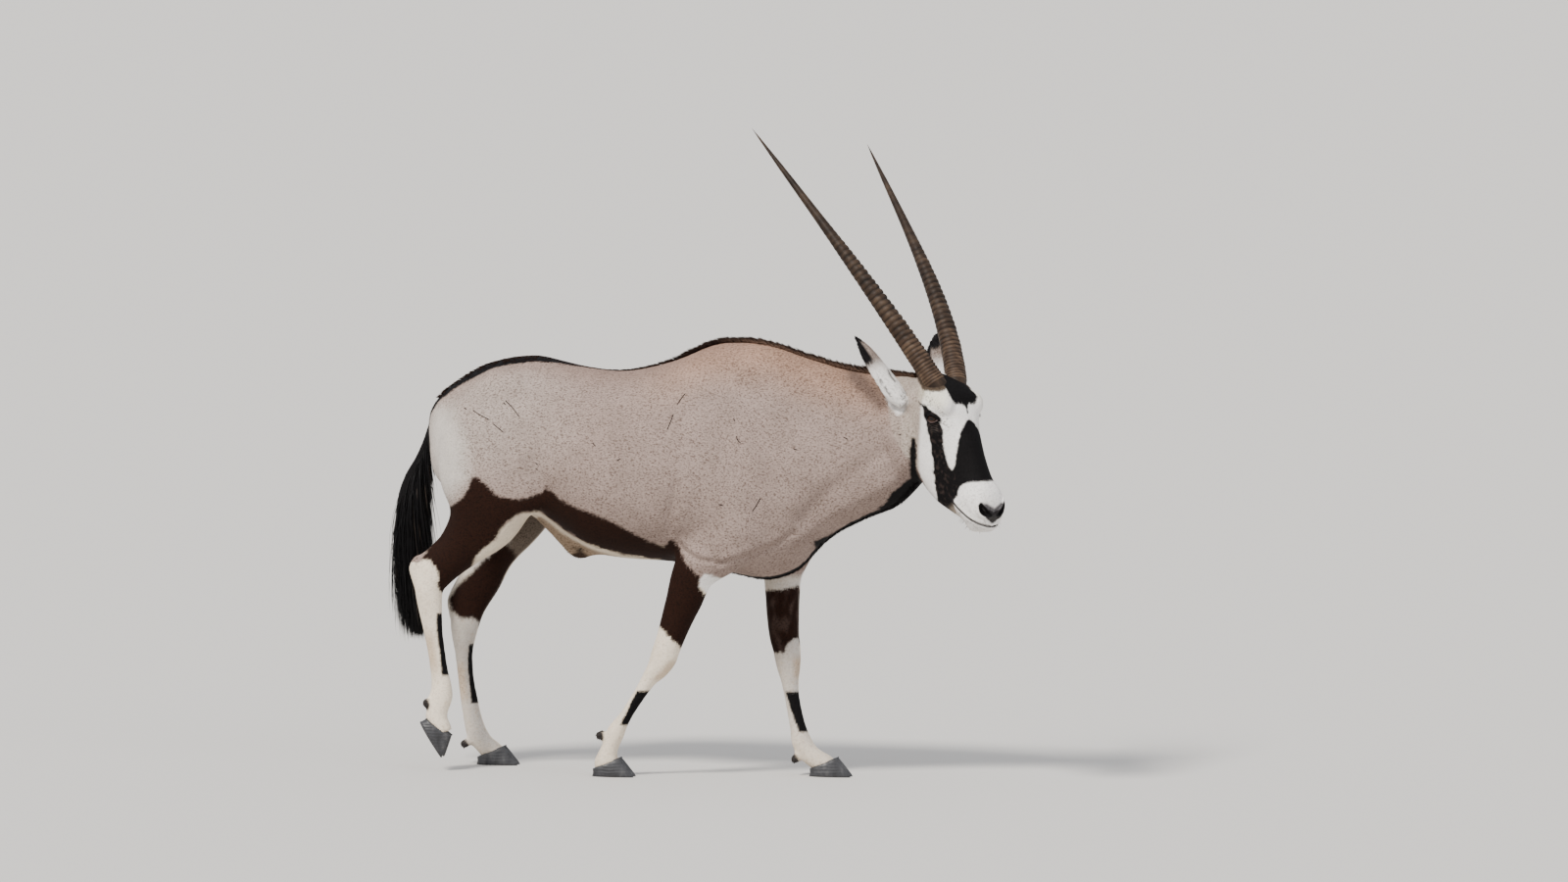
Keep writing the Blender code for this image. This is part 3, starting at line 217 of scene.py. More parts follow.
# The mouth from its corner to the middle of the front, and each nostril, in the head's frame.
MOUTH = ((0.222, 0.052, -0.093), (0.252, 0.052, -0.081), (0.277, 0.050, -0.066),
         (0.302, 0.044, -0.048), (0.320, 0.028, -0.035), (0.331, 0.000, -0.027))
NOSTRIL = (0.292, 0.029, -0.016)
NOSTRIL_SIZES = (0.0190, 0.0060, 0.0080)
NOSTRIL_TURN = math.radians(-42)

# The eye's opening: the way it looks, its half length and half height, and its tilt.
EYE_WAY = Vector((0.28, 0.91, 0.22)).normalized()
EYE_OPENING = (0.0135, 0.0080)
EYE_TILT = math.radians(-52)

SIDES = {"right": -1, "left": 1}


def smooth_rows(rows, steps):
    """The rows joined by a smooth curve, with that many steps from each row to the next."""
    rows = np.array(rows, float)
    ends = np.vstack([2 * rows[0] - rows[1], rows, 2 * rows[-1] - rows[-2]])
    found = []
    for i in range(len(rows) - 1):
        before, a, b, after = ends[i:i + 4]
        for t in np.arange(steps) / steps:
            found.append(0.5 * (2 * a + (b - before) * t
                                + (2 * before - 5 * a + 4 * b - after) * t ** 2
                                + (3 * a - before - 3 * b + after) * t ** 3))
    return np.array([*found, rows[-1]])


def closed_loft(rings):
    """(points, faces) of one closed body through the rings, with a flat cap at each end."""
    count = len(rings[0])
    faces = []
    for i in range(len(rings) - 1):
        for j in range(count):
            a = i * count + j
            b = i * count + (j + 1) % count
            faces.append((a, b, b + count, a + count))
    last = (len(rings) - 1) * count
    faces.append(tuple(range(count - 1, -1, -1)))
    faces.append(tuple(range(last, last + count)))
    return np.concatenate(rings), faces


def body_loft(rows, steps=4, count=40):
    """A loft of upright sections along x that are rounder or squarer, and narrower on top."""
    rows = smooth_rows(rows, steps)
    turn = np.linspace(0, 2 * math.pi, count, endpoint=False)
    rings = []
    for i, (x, y, top, under, half, narrow, square) in enumerate(rows):
        ahead = rows[min(i + 1, len(rows) - 1)] - rows[max(i - 1, 0)]
        yaw = math.atan2(ahead[1], ahead[0])
        across = np.sign(np.cos(turn)) * np.abs(np.cos(turn)) ** (2 / square)
        up = np.sign(np.sin(turn)) * np.abs(np.sin(turn)) ** (2 / square)
        wide = half * across * (1 - narrow * up)
        rings.append(np.stack([x - wide * math.sin(yaw), y + wide * math.cos(yaw),
                               (top + under) / 2 + (top - under) / 2 * up], axis=1))
    return closed_loft(rings)


def limb_loft(rows, side, steps=3, count=28):
    """A loft of oval sections square to a path, on the left (side 1) or right (-1)."""
    rows = smooth_rows(rows, steps)
    centres = rows[:, :3] * (1, side, 1)
    ahead = units(np.gradient(centres, axis=0))
    turn = np.linspace(0, 2 * math.pi, count, endpoint=False)
    rings = []
    for centre, along, (deep, wide) in zip(centres, ahead, rows[:, 3:]):
        across = np.array([0.0, 1.0, 0.0]) - along * along[1]
        across /= np.linalg.norm(across)
        fore = np.cross(along, across)
        rings.append(centre + np.outer(np.cos(turn) * deep, fore) + np.outer(np.sin(turn) * wide, across))
    return closed_loft(rings)


def ball(centre, half_sizes, turn_degrees=0.0, detail=3):
    """(points, faces) of an oval ball, turned about the y axis."""
    mesh = bmesh.new()
    bmesh.ops.create_icosphere(mesh, subdivisions=detail, radius=1.0)
    place = (Matrix.Translation(centre) @ Matrix.Rotation(math.radians(turn_degrees), 4, "Y")
             @ Matrix.Diagonal((*half_sizes, 1.0)))
    points = np.array([place @ v.co for v in mesh.verts])
    faces = [tuple(v.index for v in face.verts) for face in mesh.faces]
    mesh.free()
    return points, faces


def moved(points, matrix):
    """The points moved by a matrix."""
    m = np.array(matrix)
    return points @ m[:3, :3].T + m[:3, 3]


def placed(piece, matrix):
    """The piece moved by a matrix."""
    points, faces = piece
    return moved(points, matrix), faces


def mirrored(vector, side):
    """A vector given for the left side (1), on that side."""
    return Vector((vector[0], side * vector[1], vector[2]))


def units(vectors):
    """The vectors at length 1."""
    return vectors / np.maximum(np.linalg.norm(vectors, axis=1), 1e-9)[:, None]


def both_sides(masses):
    """An oval ball for each row, on the left and on the right."""
    for (x, y, z), sizes, turn in masses:
        for side in (1, -1):
            yield ball((x, side * y, z), sizes, turn)


def flesh_pieces():
    """The closed, overlapping pieces whose union is the animal's flesh."""
    yield body_loft(TRUNK)
    yield limb_loft(SHEATH, 1)
    for rows, side in ((FORE_RIGHT, -1), (FORE_LEFT, 1), (HIND_RIGHT, -1), (HIND_LEFT, 1),
                       (HOCK_RIGHT, -1), (HOCK_LEFT, 1)):
        yield limb_loft(rows, side)
    yield from both_sides(TRUNK_MASSES)
    for place in DEWCLAW_PLACES:
        yield ball(place, DEWCLAW_SIZES)
    yield limb_loft(TAIL, 1, 3, 16)
    yield placed(body_loft(SKULL), HEAD)
    for piece in both_sides(HEAD_MASSES):
        yield placed(piece, HEAD)


def new_mesh(name, points, faces):
    """A Blender mesh with its faces pointing out."""
    mesh = bpy.data.meshes.new(name)
    mesh.from_pydata(np.asarray(points).tolist(), [], [tuple(map(int, face)) for face in faces])
    shape = bmesh.new()
    shape.from_mesh(mesh)
    bmesh.ops.recalc_face_normals(shape, faces=shape.faces)
    shape.to_mesh(mesh)
    shape.free()
    return mesh


def joined(pieces):
    """The pieces as one list of points and one of faces."""
    points, faces, start = [], [], 0
    for more, cells in pieces:
        points.append(more)
        faces += [tuple(i + start for i in cell) for cell in cells]
        start += len(more)
    return np.concatenate(points), faces


def evaluated_mesh(obj):
    """A new mesh with the object's modifiers applied; the object is removed."""
    bpy.context.view_layer.update()
    graph = bpy.context.evaluated_depsgraph_get()
    mesh = bpy.data.meshes.new_from_object(obj.evaluated_get(graph))
    bpy.data.objects.remove(obj)
    return mesh


def fused(pieces, voxel):
    """(points, quads) of the union of the pieces, as an even net of small quads."""
    obj = bpy.data.objects.new("fusing", new_mesh("fusing", *joined(pieces)))
    bpy.context.scene.collection.objects.link(obj)
    modifier = obj.modifiers.new("Remesh", "REMESH")
    modifier.mode = "VOXEL"
    modifier.voxel_size = voxel
    mesh = evaluated_mesh(obj)
    quads = np.array([tuple(face.vertices) for face in mesh.polygons])
    return values_of(mesh.vertices, "co", 3).astype(float), quads


def edges_of(quads):
    """Each edge of the net once, as pairs of point numbers."""
    ends = np.concatenate([quads[:, [i, (i + 1) % 4]] for i in range(4)])
    return np.unique(np.sort(ends, axis=1), axis=0)


def relaxed(points, edges, rounds, weight):
    """The points drawn towards their neighbours' average, as far as each one's weight."""
    a, b = edges.T
    count = np.bincount(a, minlength=len(points)) + np.bincount(b, minlength=len(points))
    for _ in range(rounds):
        total = np.stack([np.bincount(a, points[b, k], len(points))
                          + np.bincount(b, points[a, k], len(points)) for k in range(3)], axis=1)
        points = points + (total / count[:, None] - points) * weight[:, None]
    return points


def ramp(values, low, high):
    """0 below low, 1 above high, and a smooth rise between."""
    t = np.clip((values - low) / (high - low), 0, 1)
    return t * t * (3 - 2 * t)


def head_share(points):
    """1 on the head, 0 on the body, and a soft step between."""
    local = in_head(points)
    return ramp(local[:, 2], -0.215, -0.165) * ramp(local[:, 0], -0.19, -0.13)


def in_head(points):
    """The points in the head's own frame."""
    return moved(points, HEAD.inverted())


def flesh(voxel):
    """(points, quads) of the whole body, its joins softened."""
    points, quads = fused(flesh_pieces(), voxel)
    edges = edges_of(quads)
    spread = (0.005 / voxel) ** 2
    on_head = head_share(points)
    on_trunk = ramp(points[:, 2], 0.46, 0.64) * (1 - on_head) * (1 - ramp(-points[:, 0], 0.712, 0.728))
    on_trunk *= ramp(np.linalg.norm(points - SHEATH_TIP, axis=1), 0.030, 0.070)
    points = relaxed(points, edges, round(6 * spread), np.full(len(points), 0.5))
    points = relaxed(points, edges, round(44 * spread), 0.6 * on_trunk)
    return points, quads


def horn_place(share, side):
    """The middle of a horn at that share of its length, and the way it runs there."""
    steps = np.linspace(0.0, share, 24)
    bend = 1 - (1 - np.clip(steps, 0, 1)) ** 3
    lean = HORN_LEAN[0] + (HORN_LEAN[1] - HORN_LEAN[0]) * bend
    spread = HORN_SPREAD[0] + (HORN_SPREAD[1] - HORN_SPREAD[0]) * bend
    ways = np.stack([-np.cos(lean) * np.cos(spread), side * np.sin(spread),
                     -np.sin(lean) * np.cos(spread)], axis=1)
    place = mirrored(HORN_ROOT, side) + Vector(ways.mean(axis=0)) * HORN_LENGTHS[side] * share
    return place, Vector(ways[-1])


# The view plane, seen as the photo sees the animal: its units to the metre, the place of the
# animal's origin, its roll and its axes, and the middle and width of the camera's picture.
VIEW_SCALE = 380.0
VIEW_ZERO = (700.0, 790.8)
VIEW_ROLL = math.radians(1.0)
VIEW_TURN = math.radians(10)
VIEW_DROP = math.radians(4)
VIEW_RIGHT = Vector((math.cos(VIEW_TURN), math.sin(VIEW_TURN), 0.0))
VIEW_BACK = Vector((math.sin(VIEW_TURN) * math.cos(VIEW_DROP), -math.cos(VIEW_TURN) * math.cos(VIEW_DROP),
                    math.sin(VIEW_DROP)))
VIEW_UP = VIEW_BACK.cross(VIEW_RIGHT)
VIEW_MIDDLE = (800.0, 450.0)
VIEW_DISTANCE = 30.0
VIEW_WIDTH = 1600.0 / VIEW_SCALE

SKIN_VOXEL = 0.005
COAT_DEPTH = 0.0022

# Colours of the hide and the hair, as reflected shares of red, green and blue. Some of them are painted shade
# and painted highlight.
FAWN = (0.304, 0.232, 0.203)
WARM = (0.345, 0.218, 0.158)
PALE = (0.530, 0.490, 0.445)
WHITE = (0.860, 0.835, 0.805)
LEG_WHITE = (0.840, 0.740, 0.600)
CREAM = (0.700, 0.600, 0.470)
BROWN = (0.0150, 0.0046, 0.0018)
BLACK = (0.0035, 0.0028, 0.0032)
TAN = (0.420, 0.360, 0.310)
GREY = (0.185, 0.155, 0.138)
# The belly's skin as it looks in shade: its own colour with painted shade.
BELLY_SKIN_IN_SHADE = (0.290, 0.215, 0.150)
# Painted shade between the thighs.
THIGH_GAP_SHADE = (0.120, 0.095, 0.075)
BUFF = (0.480, 0.340, 0.220)
BACK_TAN = (0.260, 0.170, 0.135)
# Painted shade for the surfaces that face downwards.
DOWNWARD_SHADE = (0.215, 0.155, 0.128)
NAPE_TAN = (0.130, 0.088, 0.072)
# The greyer brown of the far fore leg's inner side, laid in mottles that are painted sheen.
INNER_SHEEN_BROWN = (0.055, 0.034, 0.028)
CLAW_GREY = (0.030, 0.026, 0.025)
# Painted shade in the crease behind each horn's base.
CREASE_SHADE = (0.10, 0.06, 0.045)
GLOW = (0.72, 0.68, 0.54)
HORN_BASE = (0.070, 0.050, 0.035)
SPECK = (0.095, 0.080, 0.070)
SHEEN = (0.024, 0.017, 0.015)
# Painted shade in the notch between each nostril and the nose pad.
NOTCH_SHADE = (0.060, 0.056, 0.062)
NOSE_BLACK = (0.014, 0.012, 0.013)
# Painted shade on the underside of the chin.
CHIN_SHADE = (0.50, 0.42, 0.34)
LIP_BLACK = (0.012, 0.010, 0.011)
# The grey-brown of the wrinkled skin below each eye, laid on the wrinkles' ridges as painted highlight.
WRINKLE_HIGHLIGHT = (0.038, 0.031, 0.029)
LID_BROWN = (0.115, 0.080, 0.074)
IRIS_BROWN = (0.050, 0.020, 0.009)
IRIS_EDGE = (0.012, 0.006, 0.004)
EYE_RIM = (0.022, 0.014, 0.012)
PUPIL_BLACK = (0.002, 0.002, 0.003)
MANE_BROWN = (0.020, 0.009, 0.006)
TAIL_BLACK = (0.0030, 0.0027, 0.0031)
TAIL_PALE = (0.05, 0.038, 0.030)
SCAR_DARK = (0.022, 0.017, 0.015)

# Along x: half widths of the black on the breast and of the stripe along the back, and how
# strong that stripe is.
BREAST_WIDTHS = ((0.03, 0.10, 0.20, 0.27, 0.32, 0.42), (0.0, 0.036, 0.050, 0.042, 0.030, 0.030))
STRIPE_WIDTHS = ((-0.73, -0.66, -0.56, -0.42, -0.33, -0.26, -0.10, 0.0, 0.14, 0.22, 0.62),
                 (0.030, 0.055, 0.064, 0.056, 0.030, 0.008, 0.006, 0.014, 0.016, 0.010, 0.009))
STRIPE_STRENGTH = ((-0.33, -0.24, -0.06, 0.0, 0.14, 0.25), (1.0, 0.55, 0.55, 0.85, 0.8, 0.45))
# Parts of the animal ahead of this x belong to the fore legs, the rest to the hind legs.
FORE_FROM = -0.30
# Mean reflected share from which a coat colour begins to count as pale, and fully does.
PALE_FROM = (0.32, 0.50)

# Markings of the trunk and of the outer sides of the near legs, drawn on the view plane. An edge
# that two of them share has a name of its own.
BUTTOCK = ((433, 432), (441, 416), (452, 412), (465, 418), (473, 436), (479, 462), (481, 488), (470, 503),
    (458, 516), (446, 520), (436, 480))
THIGH_EDGE = ((535.7, 523), (528.6, 525.7), (518.6, 532.9), (512.9, 540), (507.9, 548.6), (501.4, 555),
    (492.9, 561.4), (487, 568.6))
THIGH = ((482.9, 485.7), (491.4, 488.6), (498.6, 494.3), (505.7, 501.4), (514.3, 507.9), (530, 509.3),
    (541.4, 507), (552, 504), (554, 520), (552.9, 523), *THIGH_EDGE, (485, 575), (489, 580), (480, 592),
    (466, 606), (455.7, 610), (450, 604), (446.4, 597), (447.9, 588.6), (445.7, 578.6), (438.6, 571),
    (430, 571), (436, 560), (447, 545), (455, 530), (456, 521.4), (460.7, 517), (467, 512.9), (474.3, 507),
    (479.3, 498.6), (480, 491.4))
FRINGE = ((554, 522), (552, 527), (541, 530), (533, 540), (526, 551), (516, 560), (505, 566), (494, 577),
    (488, 584), (484, 576), *THIGH_EDGE[::-1])
BAND_EDGE = ((670, 570.5), (650, 567.5), (630, 563.5), (612, 558), (600, 553.6), (587, 547), (575.7, 540),
    (567, 532.9), (558.6, 526.4))
BAND = ((550, 505), (554.3, 502.9), (558.6, 495.7), (561.4, 500), (567, 502.9), (572.9, 508.6),
    (581.4, 512.9), (590, 518.6), (600, 521), (622, 530), (642, 541), (664, 552), (684, 559), (698, 566),
    (698, 576), (686, 573), *BAND_EDGE, (552.9, 522.9))
BELLY = ((552, 522), *BAND_EDGE[::-1], (690, 573), (712, 600), (600, 620), (540, 600), (530, 560), (540, 530))
FORELEG = ((683.6, 551), (688, 551), (694.5, 557), (696, 566), (701, 575.5), (708, 581), (714.5, 586.4),
    (713.6, 597.3), (719, 604.5), (726, 606), (716, 625), (706, 645), (697, 661), (695.5, 660),
    (686.4, 651.8), (677, 641), (670, 635.5), (660, 630), (662, 600), (676, 565))
FORELEG_SPOT = ((715.5, 589), (719, 584.5), (730, 587), (740, 590), (730, 606), (722.7, 605), (714.5, 597))
THROAT = ((929, 446), (927.3, 461), (926.4, 475.5), (927.3, 486.4), (922.7, 491.8), (915.5, 497.3),
    (908, 504.5), (902.7, 511.8), (895.5, 519), (884.5, 523.6), (870, 533.6), (855.5, 540), (844.5, 546.4),
    (830, 552), (834, 562), (850, 558), (880, 548), (905, 540), (928, 522), (942, 500), (937, 484.5),
    (933.6, 475.5), (934.5, 462.7), (933, 448))
NAPE = ((868, 374), (878, 379), (889, 388), (899, 402), (905, 416), (896, 418), (884, 407), (872, 396),
    (864, 385))
# Markings of the inner sides of the legs, drawn on the far legs.
FORE_INNER = ((770, 603), (779, 602.5), (797, 602), (815.5, 597), (824, 596), (822, 640), (816, 651.8),
    (808, 651.8), (803.6, 659), (799, 664.5), (790, 666.4), (780, 668), (770, 640))
HIND_INNER = ((515.7, 556), (522, 562), (526, 571), (524, 582), (516, 604), (503, 624), (490, 637),
    (479, 631), (468, 633), (459, 624), (455, 613), (466, 597), (480, 584), (495, 569), (508, 560))

# Markings of the head, drawn on the view plane for its right side and repeated on its left.
CROWN = ((955, 382), (962.8, 396.7), (964.4, 401), (967.8, 406.7), (970.6, 411), (973.3, 413.9),
    (978.9, 413.3), (982.2, 415), (984, 418), (985, 422), (989, 422), (1010, 400), (1005, 378))
MUZZLE_EDGE = ((971.7, 509), (975, 505.6), (976, 500), (977.8, 496), (982, 493.3), (987.8, 492),
    (994.4, 491.7), (1001, 491), (1007.8, 492), (1013.9, 493.3))
BLAZE = ((986.5, 427.3), (982.2, 432.2), (977.8, 441), (975.6, 451), (974.4, 457.8), (972.8, 468.9),
    (971, 477.5), (966, 485), (964, 500), (967, 508), *MUZZLE_EDGE, (1024, 494), (1016, 478), (1011, 465),
    (1006, 450), (1001, 438), (994, 430), (990, 427.6))
STRIPE = ((936, 411), (940, 417), (942.2, 425.6), (943.9, 432.2), (945.6, 443.3), (947.8, 451),
    (948.9, 462.2), (951, 473.3), (951, 483.3), (952.2, 492.2), (953.9, 504.4), (955, 508), (953, 520),
    (974, 532), (973.9, 522), (971, 512), (971.7, 509), (975, 505), (976, 490), (971, 478.3), (968.9, 478.3),
    (966, 475.6), (964.4, 468.9), (962.2, 460), (960.6, 448.9), (960, 437.8), (957, 430), (953, 424),
    (949, 420), (944, 415.5))
BEHIND_EYE = ((930, 372), (941, 396), (941, 405), (937.5, 414), (937, 430), (936, 450), (935.5, 465),
    (936, 480), (941, 493), (934, 500), (922, 470), (918, 430), (912, 385))
FACE = ((946, 376), (942, 396), (941, 405), (938, 414), (937.5, 425), (937, 440), (936.2, 450), (935.6, 465),
    (936, 480), (940, 492), (946, 502), (955, 514), (985, 555), (1045, 560), (1045, 375))
# Painted shade in the crease behind each horn's base, as a thin strip.
HORN_CREASE_SHADE = ((928, 372), (932, 380), (935, 388), (938.5, 396), (940, 405), (942, 405), (942, 398), (938, 384),
    (935, 372))
MUZZLE = ((971, 512), *MUZZLE_EDGE, (1030, 494), (1035, 530), (1020, 560), (990, 560), (976, 534),
    (973.9, 522))
NOSE_TIP = ((994.8, 515), (998.9, 511.8), (1001, 515), (1005.6, 518.9), (1010, 521), (1013.3, 523.3),
    (1015.6, 524.4), (1019.8, 520.5), (1032, 517), (1032, 530), (1019, 528), (1016.7, 530), (1012.2, 534),
    (1007.8, 532.2), (1003.3, 527.8), (1000, 523.3), (996.7, 518.3))
# Painted shade in the notch between each nostril and the nose pad.
NOSE_NOTCH_SHADE = ((999, 512.5), (1004, 513), (1009, 516), (1014, 519.5), (1019.5, 520.5), (1017, 526), (1010, 525),
    (1004, 520))
HORN_GLOW = ((938, 398), (964, 398), (966, 410), (958, 420), (946, 416), (938, 408))
EYE_SPECKS = ((939, 404), (948, 402), (956, 414), (964, 424), (970, 436), (960, 438), (952, 424), (946, 416),
    (938, 414))
# Painted shade between the thighs, drawn on the inner side of the far hind leg.
INNER_THIGH_SHADE = ((536, 523), (556, 521), (562, 530), (556, 552), (540, 572), (528, 584), (521, 572), (514, 562),
    (520, 550), (530, 534))

HORN_FOOT = ((935, 386), (939, 397), (942, 400), (949, 400.6), (957, 400.4), (963, 399), (965, 393),
    (960, 384))
EAR_FOOT = ((901, 396), (914, 402), (925, 407), (924, 415), (919, 424), (914, 424), (906, 414), (899, 402))

# Folds and ridges of the body: a line on the view plane, its half width there, and how far it
# stands out in metres.
FOLDS = (
    (((896, 440), (901, 460), (911, 478), (918, 489)), 2.8, -0.0040),
    (((907, 444), (914, 462), (922, 478)), 4.0, 0.0030),
    (((900, 462), (866, 486), (838, 508), (819, 530)), 9.0, -0.0075),
    (((912, 489), (872, 511), (842, 529), (816, 550)), 7.0, 0.0060),
    (((691, 494), (688, 508), (685, 524), (685, 541)), 5.5, -0.0060),
    (((703, 500), (700, 518), (696, 535)), 8.0, 0.0030),
    (((689, 545), (697, 559), (712, 570), (736, 574)), 2.4, -0.0040),
    (((697, 550), (706, 560), (722, 567)), 3.0, 0.0030),
    (((736, 575), (762, 567), (790, 557), (810, 543)), 3.0, -0.0040),
    (((740, 568), (765, 560), (792, 548)), 4.5, 0.0030),
    (((558, 500), (553, 486), (550, 470)), 9.0, -0.0055),
    (((538, 494), (534, 476), (533, 460)), 10.0, 0.0030),
    (((480, 450), (483, 468), (484, 484)), 8.0, -0.0030),
    (((716, 440), (742, 500), (748, 540)), 14.0, 0.0035),
    (((742, 452), (772, 500), (776, 536)), 9.0, -0.0035),
)
# Thin old scratches and dark spots of the right side, on the view plane.
SCRATCHES = (((700, 402), (696, 407), (692, 413)), ((688, 423), (685, 431), (682, 438)),
             ((752, 445), (753, 449), (756, 452)), ((776, 508), (772, 515), (768, 521)),
             ((484, 419), (492, 424), (500, 428)), ((517, 409), (524, 416), (531, 425)),
             ((505, 433), (510, 437), (515, 441)), ((749, 427), (750, 430)), ((734, 514), (738, 515)),
             ((860, 446), (864, 448)), ((916, 443), (918, 444)), ((810, 458), (813, 459)),
             ((515, 411), (517, 413)), ((548, 472), (550, 474)), ((548, 478), (550, 479)),
             ((475, 416), (477, 418)), ((606, 452), (609, 455)), ((631, 470), (634, 468)))
# Dark marks on each ear, as lines on the view plane.
EAR_MARKS = (((906, 380), (908, 385), (912, 390)), ((902, 396), (905, 401), (908, 405)),
             ((925, 396), (924, 403), (920, 408)), ((897, 388), (899, 392)))

# Stations down each leg from the belly to the hoof, on the right and on the left leg.
LEG_STATIONS = {
    "fore": ((0.042, 0.115, 0.300, 0.600, 0.850), (0.032, 0.090, 0.300, 0.600, 0.850)),
    "hind": ((0.120, 0.185, 0.545, 0.750, 0.900), (0.036, 0.095, 0.440, 0.740, 0.900)),
}


def on_view(points):
    """Where points fall on the view plane."""
    flat = np.stack([points @ np.array(VIEW_RIGHT), points @ np.array(VIEW_UP)], axis=1)
    c, s = math.cos(VIEW_ROLL), math.sin(VIEW_ROLL)
    return np.stack([VIEW_ZERO[0] + VIEW_SCALE * (flat[:, 0] * c + flat[:, 1] * s),
                     VIEW_ZERO[1] + VIEW_SCALE * (flat[:, 0] * s - flat[:, 1] * c)], axis=1)


def off_view(x, y):
    """The point of the animal's middle plane of view at a place on the view plane."""
    c, s = math.cos(VIEW_ROLL), math.sin(VIEW_ROLL)
    x, y = (x - VIEW_ZERO[0]) / VIEW_SCALE, (y - VIEW_ZERO[1]) / VIEW_SCALE
    return VIEW_RIGHT * (c * x + s * y) + VIEW_UP * (s * x - c * y)


def make_camera():
    """A long lens that sees the animal as the view plane does."""
    c, s = math.cos(VIEW_ROLL), math.sin(VIEW_ROLL)
    right = VIEW_RIGHT * c + VIEW_UP * s
    up = VIEW_UP * c - VIEW_RIGHT * s
    camera = bpy.data.cameras.new("camera")
    camera.sensor_width = 36.0
    camera.lens = camera.sensor_width * VIEW_DISTANCE / VIEW_WIDTH
    camera.clip_end = 2000.0
    obj = bpy.data.objects.new("camera", camera)
    turn = Matrix((right, up, VIEW_BACK)).transposed().to_4x4()
    aim = off_view(*VIEW_MIDDLE) + SHIFT
    obj.matrix_world = Matrix.Translation(aim + VIEW_BACK * VIEW_DISTANCE) @ turn
    bpy.context.scene.collection.objects.link(obj)
    bpy.context.scene.camera = obj


def depth_inside(spots, outline):
    """How far each spot lies inside the outline; negative outside it."""
    corners = np.array(outline, float)
    nearest = np.full(len(spots), 1e9)
    odd = np.zeros(len(spots), bool)
    for a, b in zip(corners, np.roll(corners, -1, axis=0)):
        way = b - a
        along = np.clip((spots - a) @ way / (way @ way), 0, 1)
        gap = spots - a - along[:, None] * way
        nearest = np.minimum(nearest, np.hypot(gap[:, 0], gap[:, 1]))
        if a[1] == b[1]:
            continue
        crosses = (a[1] > spots[:, 1]) != (b[1] > spots[:, 1])
        odd ^= crosses & (spots[:, 0] < a[0] + (spots[:, 1] - a[1]) / way[1] * way[0])
    return np.where(odd, nearest, -nearest)


def gap_to_line(points, line):
    """How far points of the plane or of space are from a line through the corners."""
    corners = np.array(line, float)
    nearest = np.full(len(points), 1e9)
    for a, b in zip(corners, corners[1:]):
        way = b - a
        along = np.clip((points - a) @ way / (way @ way), 0, 1)
        nearest = np.minimum(nearest, np.linalg.norm(points - a - along[:, None] * way, axis=1))
    return nearest


def rough(points, size, seed=0.0):
    """Smooth noise of about -1 to 1 at the points, with features of that size."""
    return np.array([noise.noise(Vector(p) / size + Vector((seed, 0, 0))) for p in points])


def leg_line(rows, heights):
    """Middle x and half depth of a leg at the heights."""
    rows = smooth_rows(rows, 3)[::-1]
    return np.interp(heights, rows[:, 2], rows[:, 0]), np.interp(heights, rows[:, 2], rows[:, 3])


LEGS = {("fore", -1): FORE_RIGHT, ("fore", 1): FORE_LEFT, ("hind", -1): HIND_RIGHT, ("hind", 1): HIND_LEFT}


def trunk_line(x, column, steps=1):
    """A measure of the trunk and neck at x, from a column of their rows."""
    rows = smooth_rows(TRUNK, steps)
    return np.interp(x, rows[:, 0], rows[:, column])


def neck_middle(x):
    """How far the middle of the trunk and neck lies off the midline."""
    return trunk_line(x, 1)


def on_other_leg(points, to_side):
    """The points as they would lie on that side (1 left, -1 right), in the pose of its legs."""
    posed = points.copy()
    middle_y = neck_middle(points[:, 0])
    own = np.where(points[:, 1] > middle_y, 1, -1)
    posed[:, 1] = middle_y + to_side * np.abs(points[:, 1] - middle_y)
    for name, (right, left) in LEG_STATIONS.items():
        stations = {-1: right, 1: left}
        chosen = (own == -to_side) & ((points[:, 0] > FORE_FROM) == (name == "fore"))
        z = points[chosen, 2]
        there = np.interp(z, stations[-to_side], stations[to_side])
        middle, deep = leg_line(LEGS[name, -to_side], z)
        new_middle, new_deep = leg_line(LEGS[name, to_side], there)
        x = new_middle + (points[chosen, 0] - middle) * new_deep / deep
        blend = 1 - ramp(z, 0.62, 0.82)
        posed[chosen, 0] += (x - points[chosen, 0]) * blend
        posed[chosen, 2] += (there - z) * blend
    return posed


def mixed(colour, other, share):
    """The colours drawn towards another one."""
    return colour + (np.array(other) - colour) * np.clip(share, 0, 1)[:, None]


def layered(colour, layers):
    """The colours drawn towards each layer's colour in turn, as far as its share."""
    for other, share in layers:
        colour = mixed(colour, other, share)
    return colour


def patch(spots, outline, jitter, soft=1.2):
    """Share of a marking at the spots, with a ragged edge."""
    return ramp(depth_inside(spots, outline) + jitter, -soft, soft)


def zone(values, low, high, soft):
    """1 between low and high, with soft ends."""
    return ramp(values, low - soft, low + soft) * (1 - ramp(values, high - soft, high + soft))


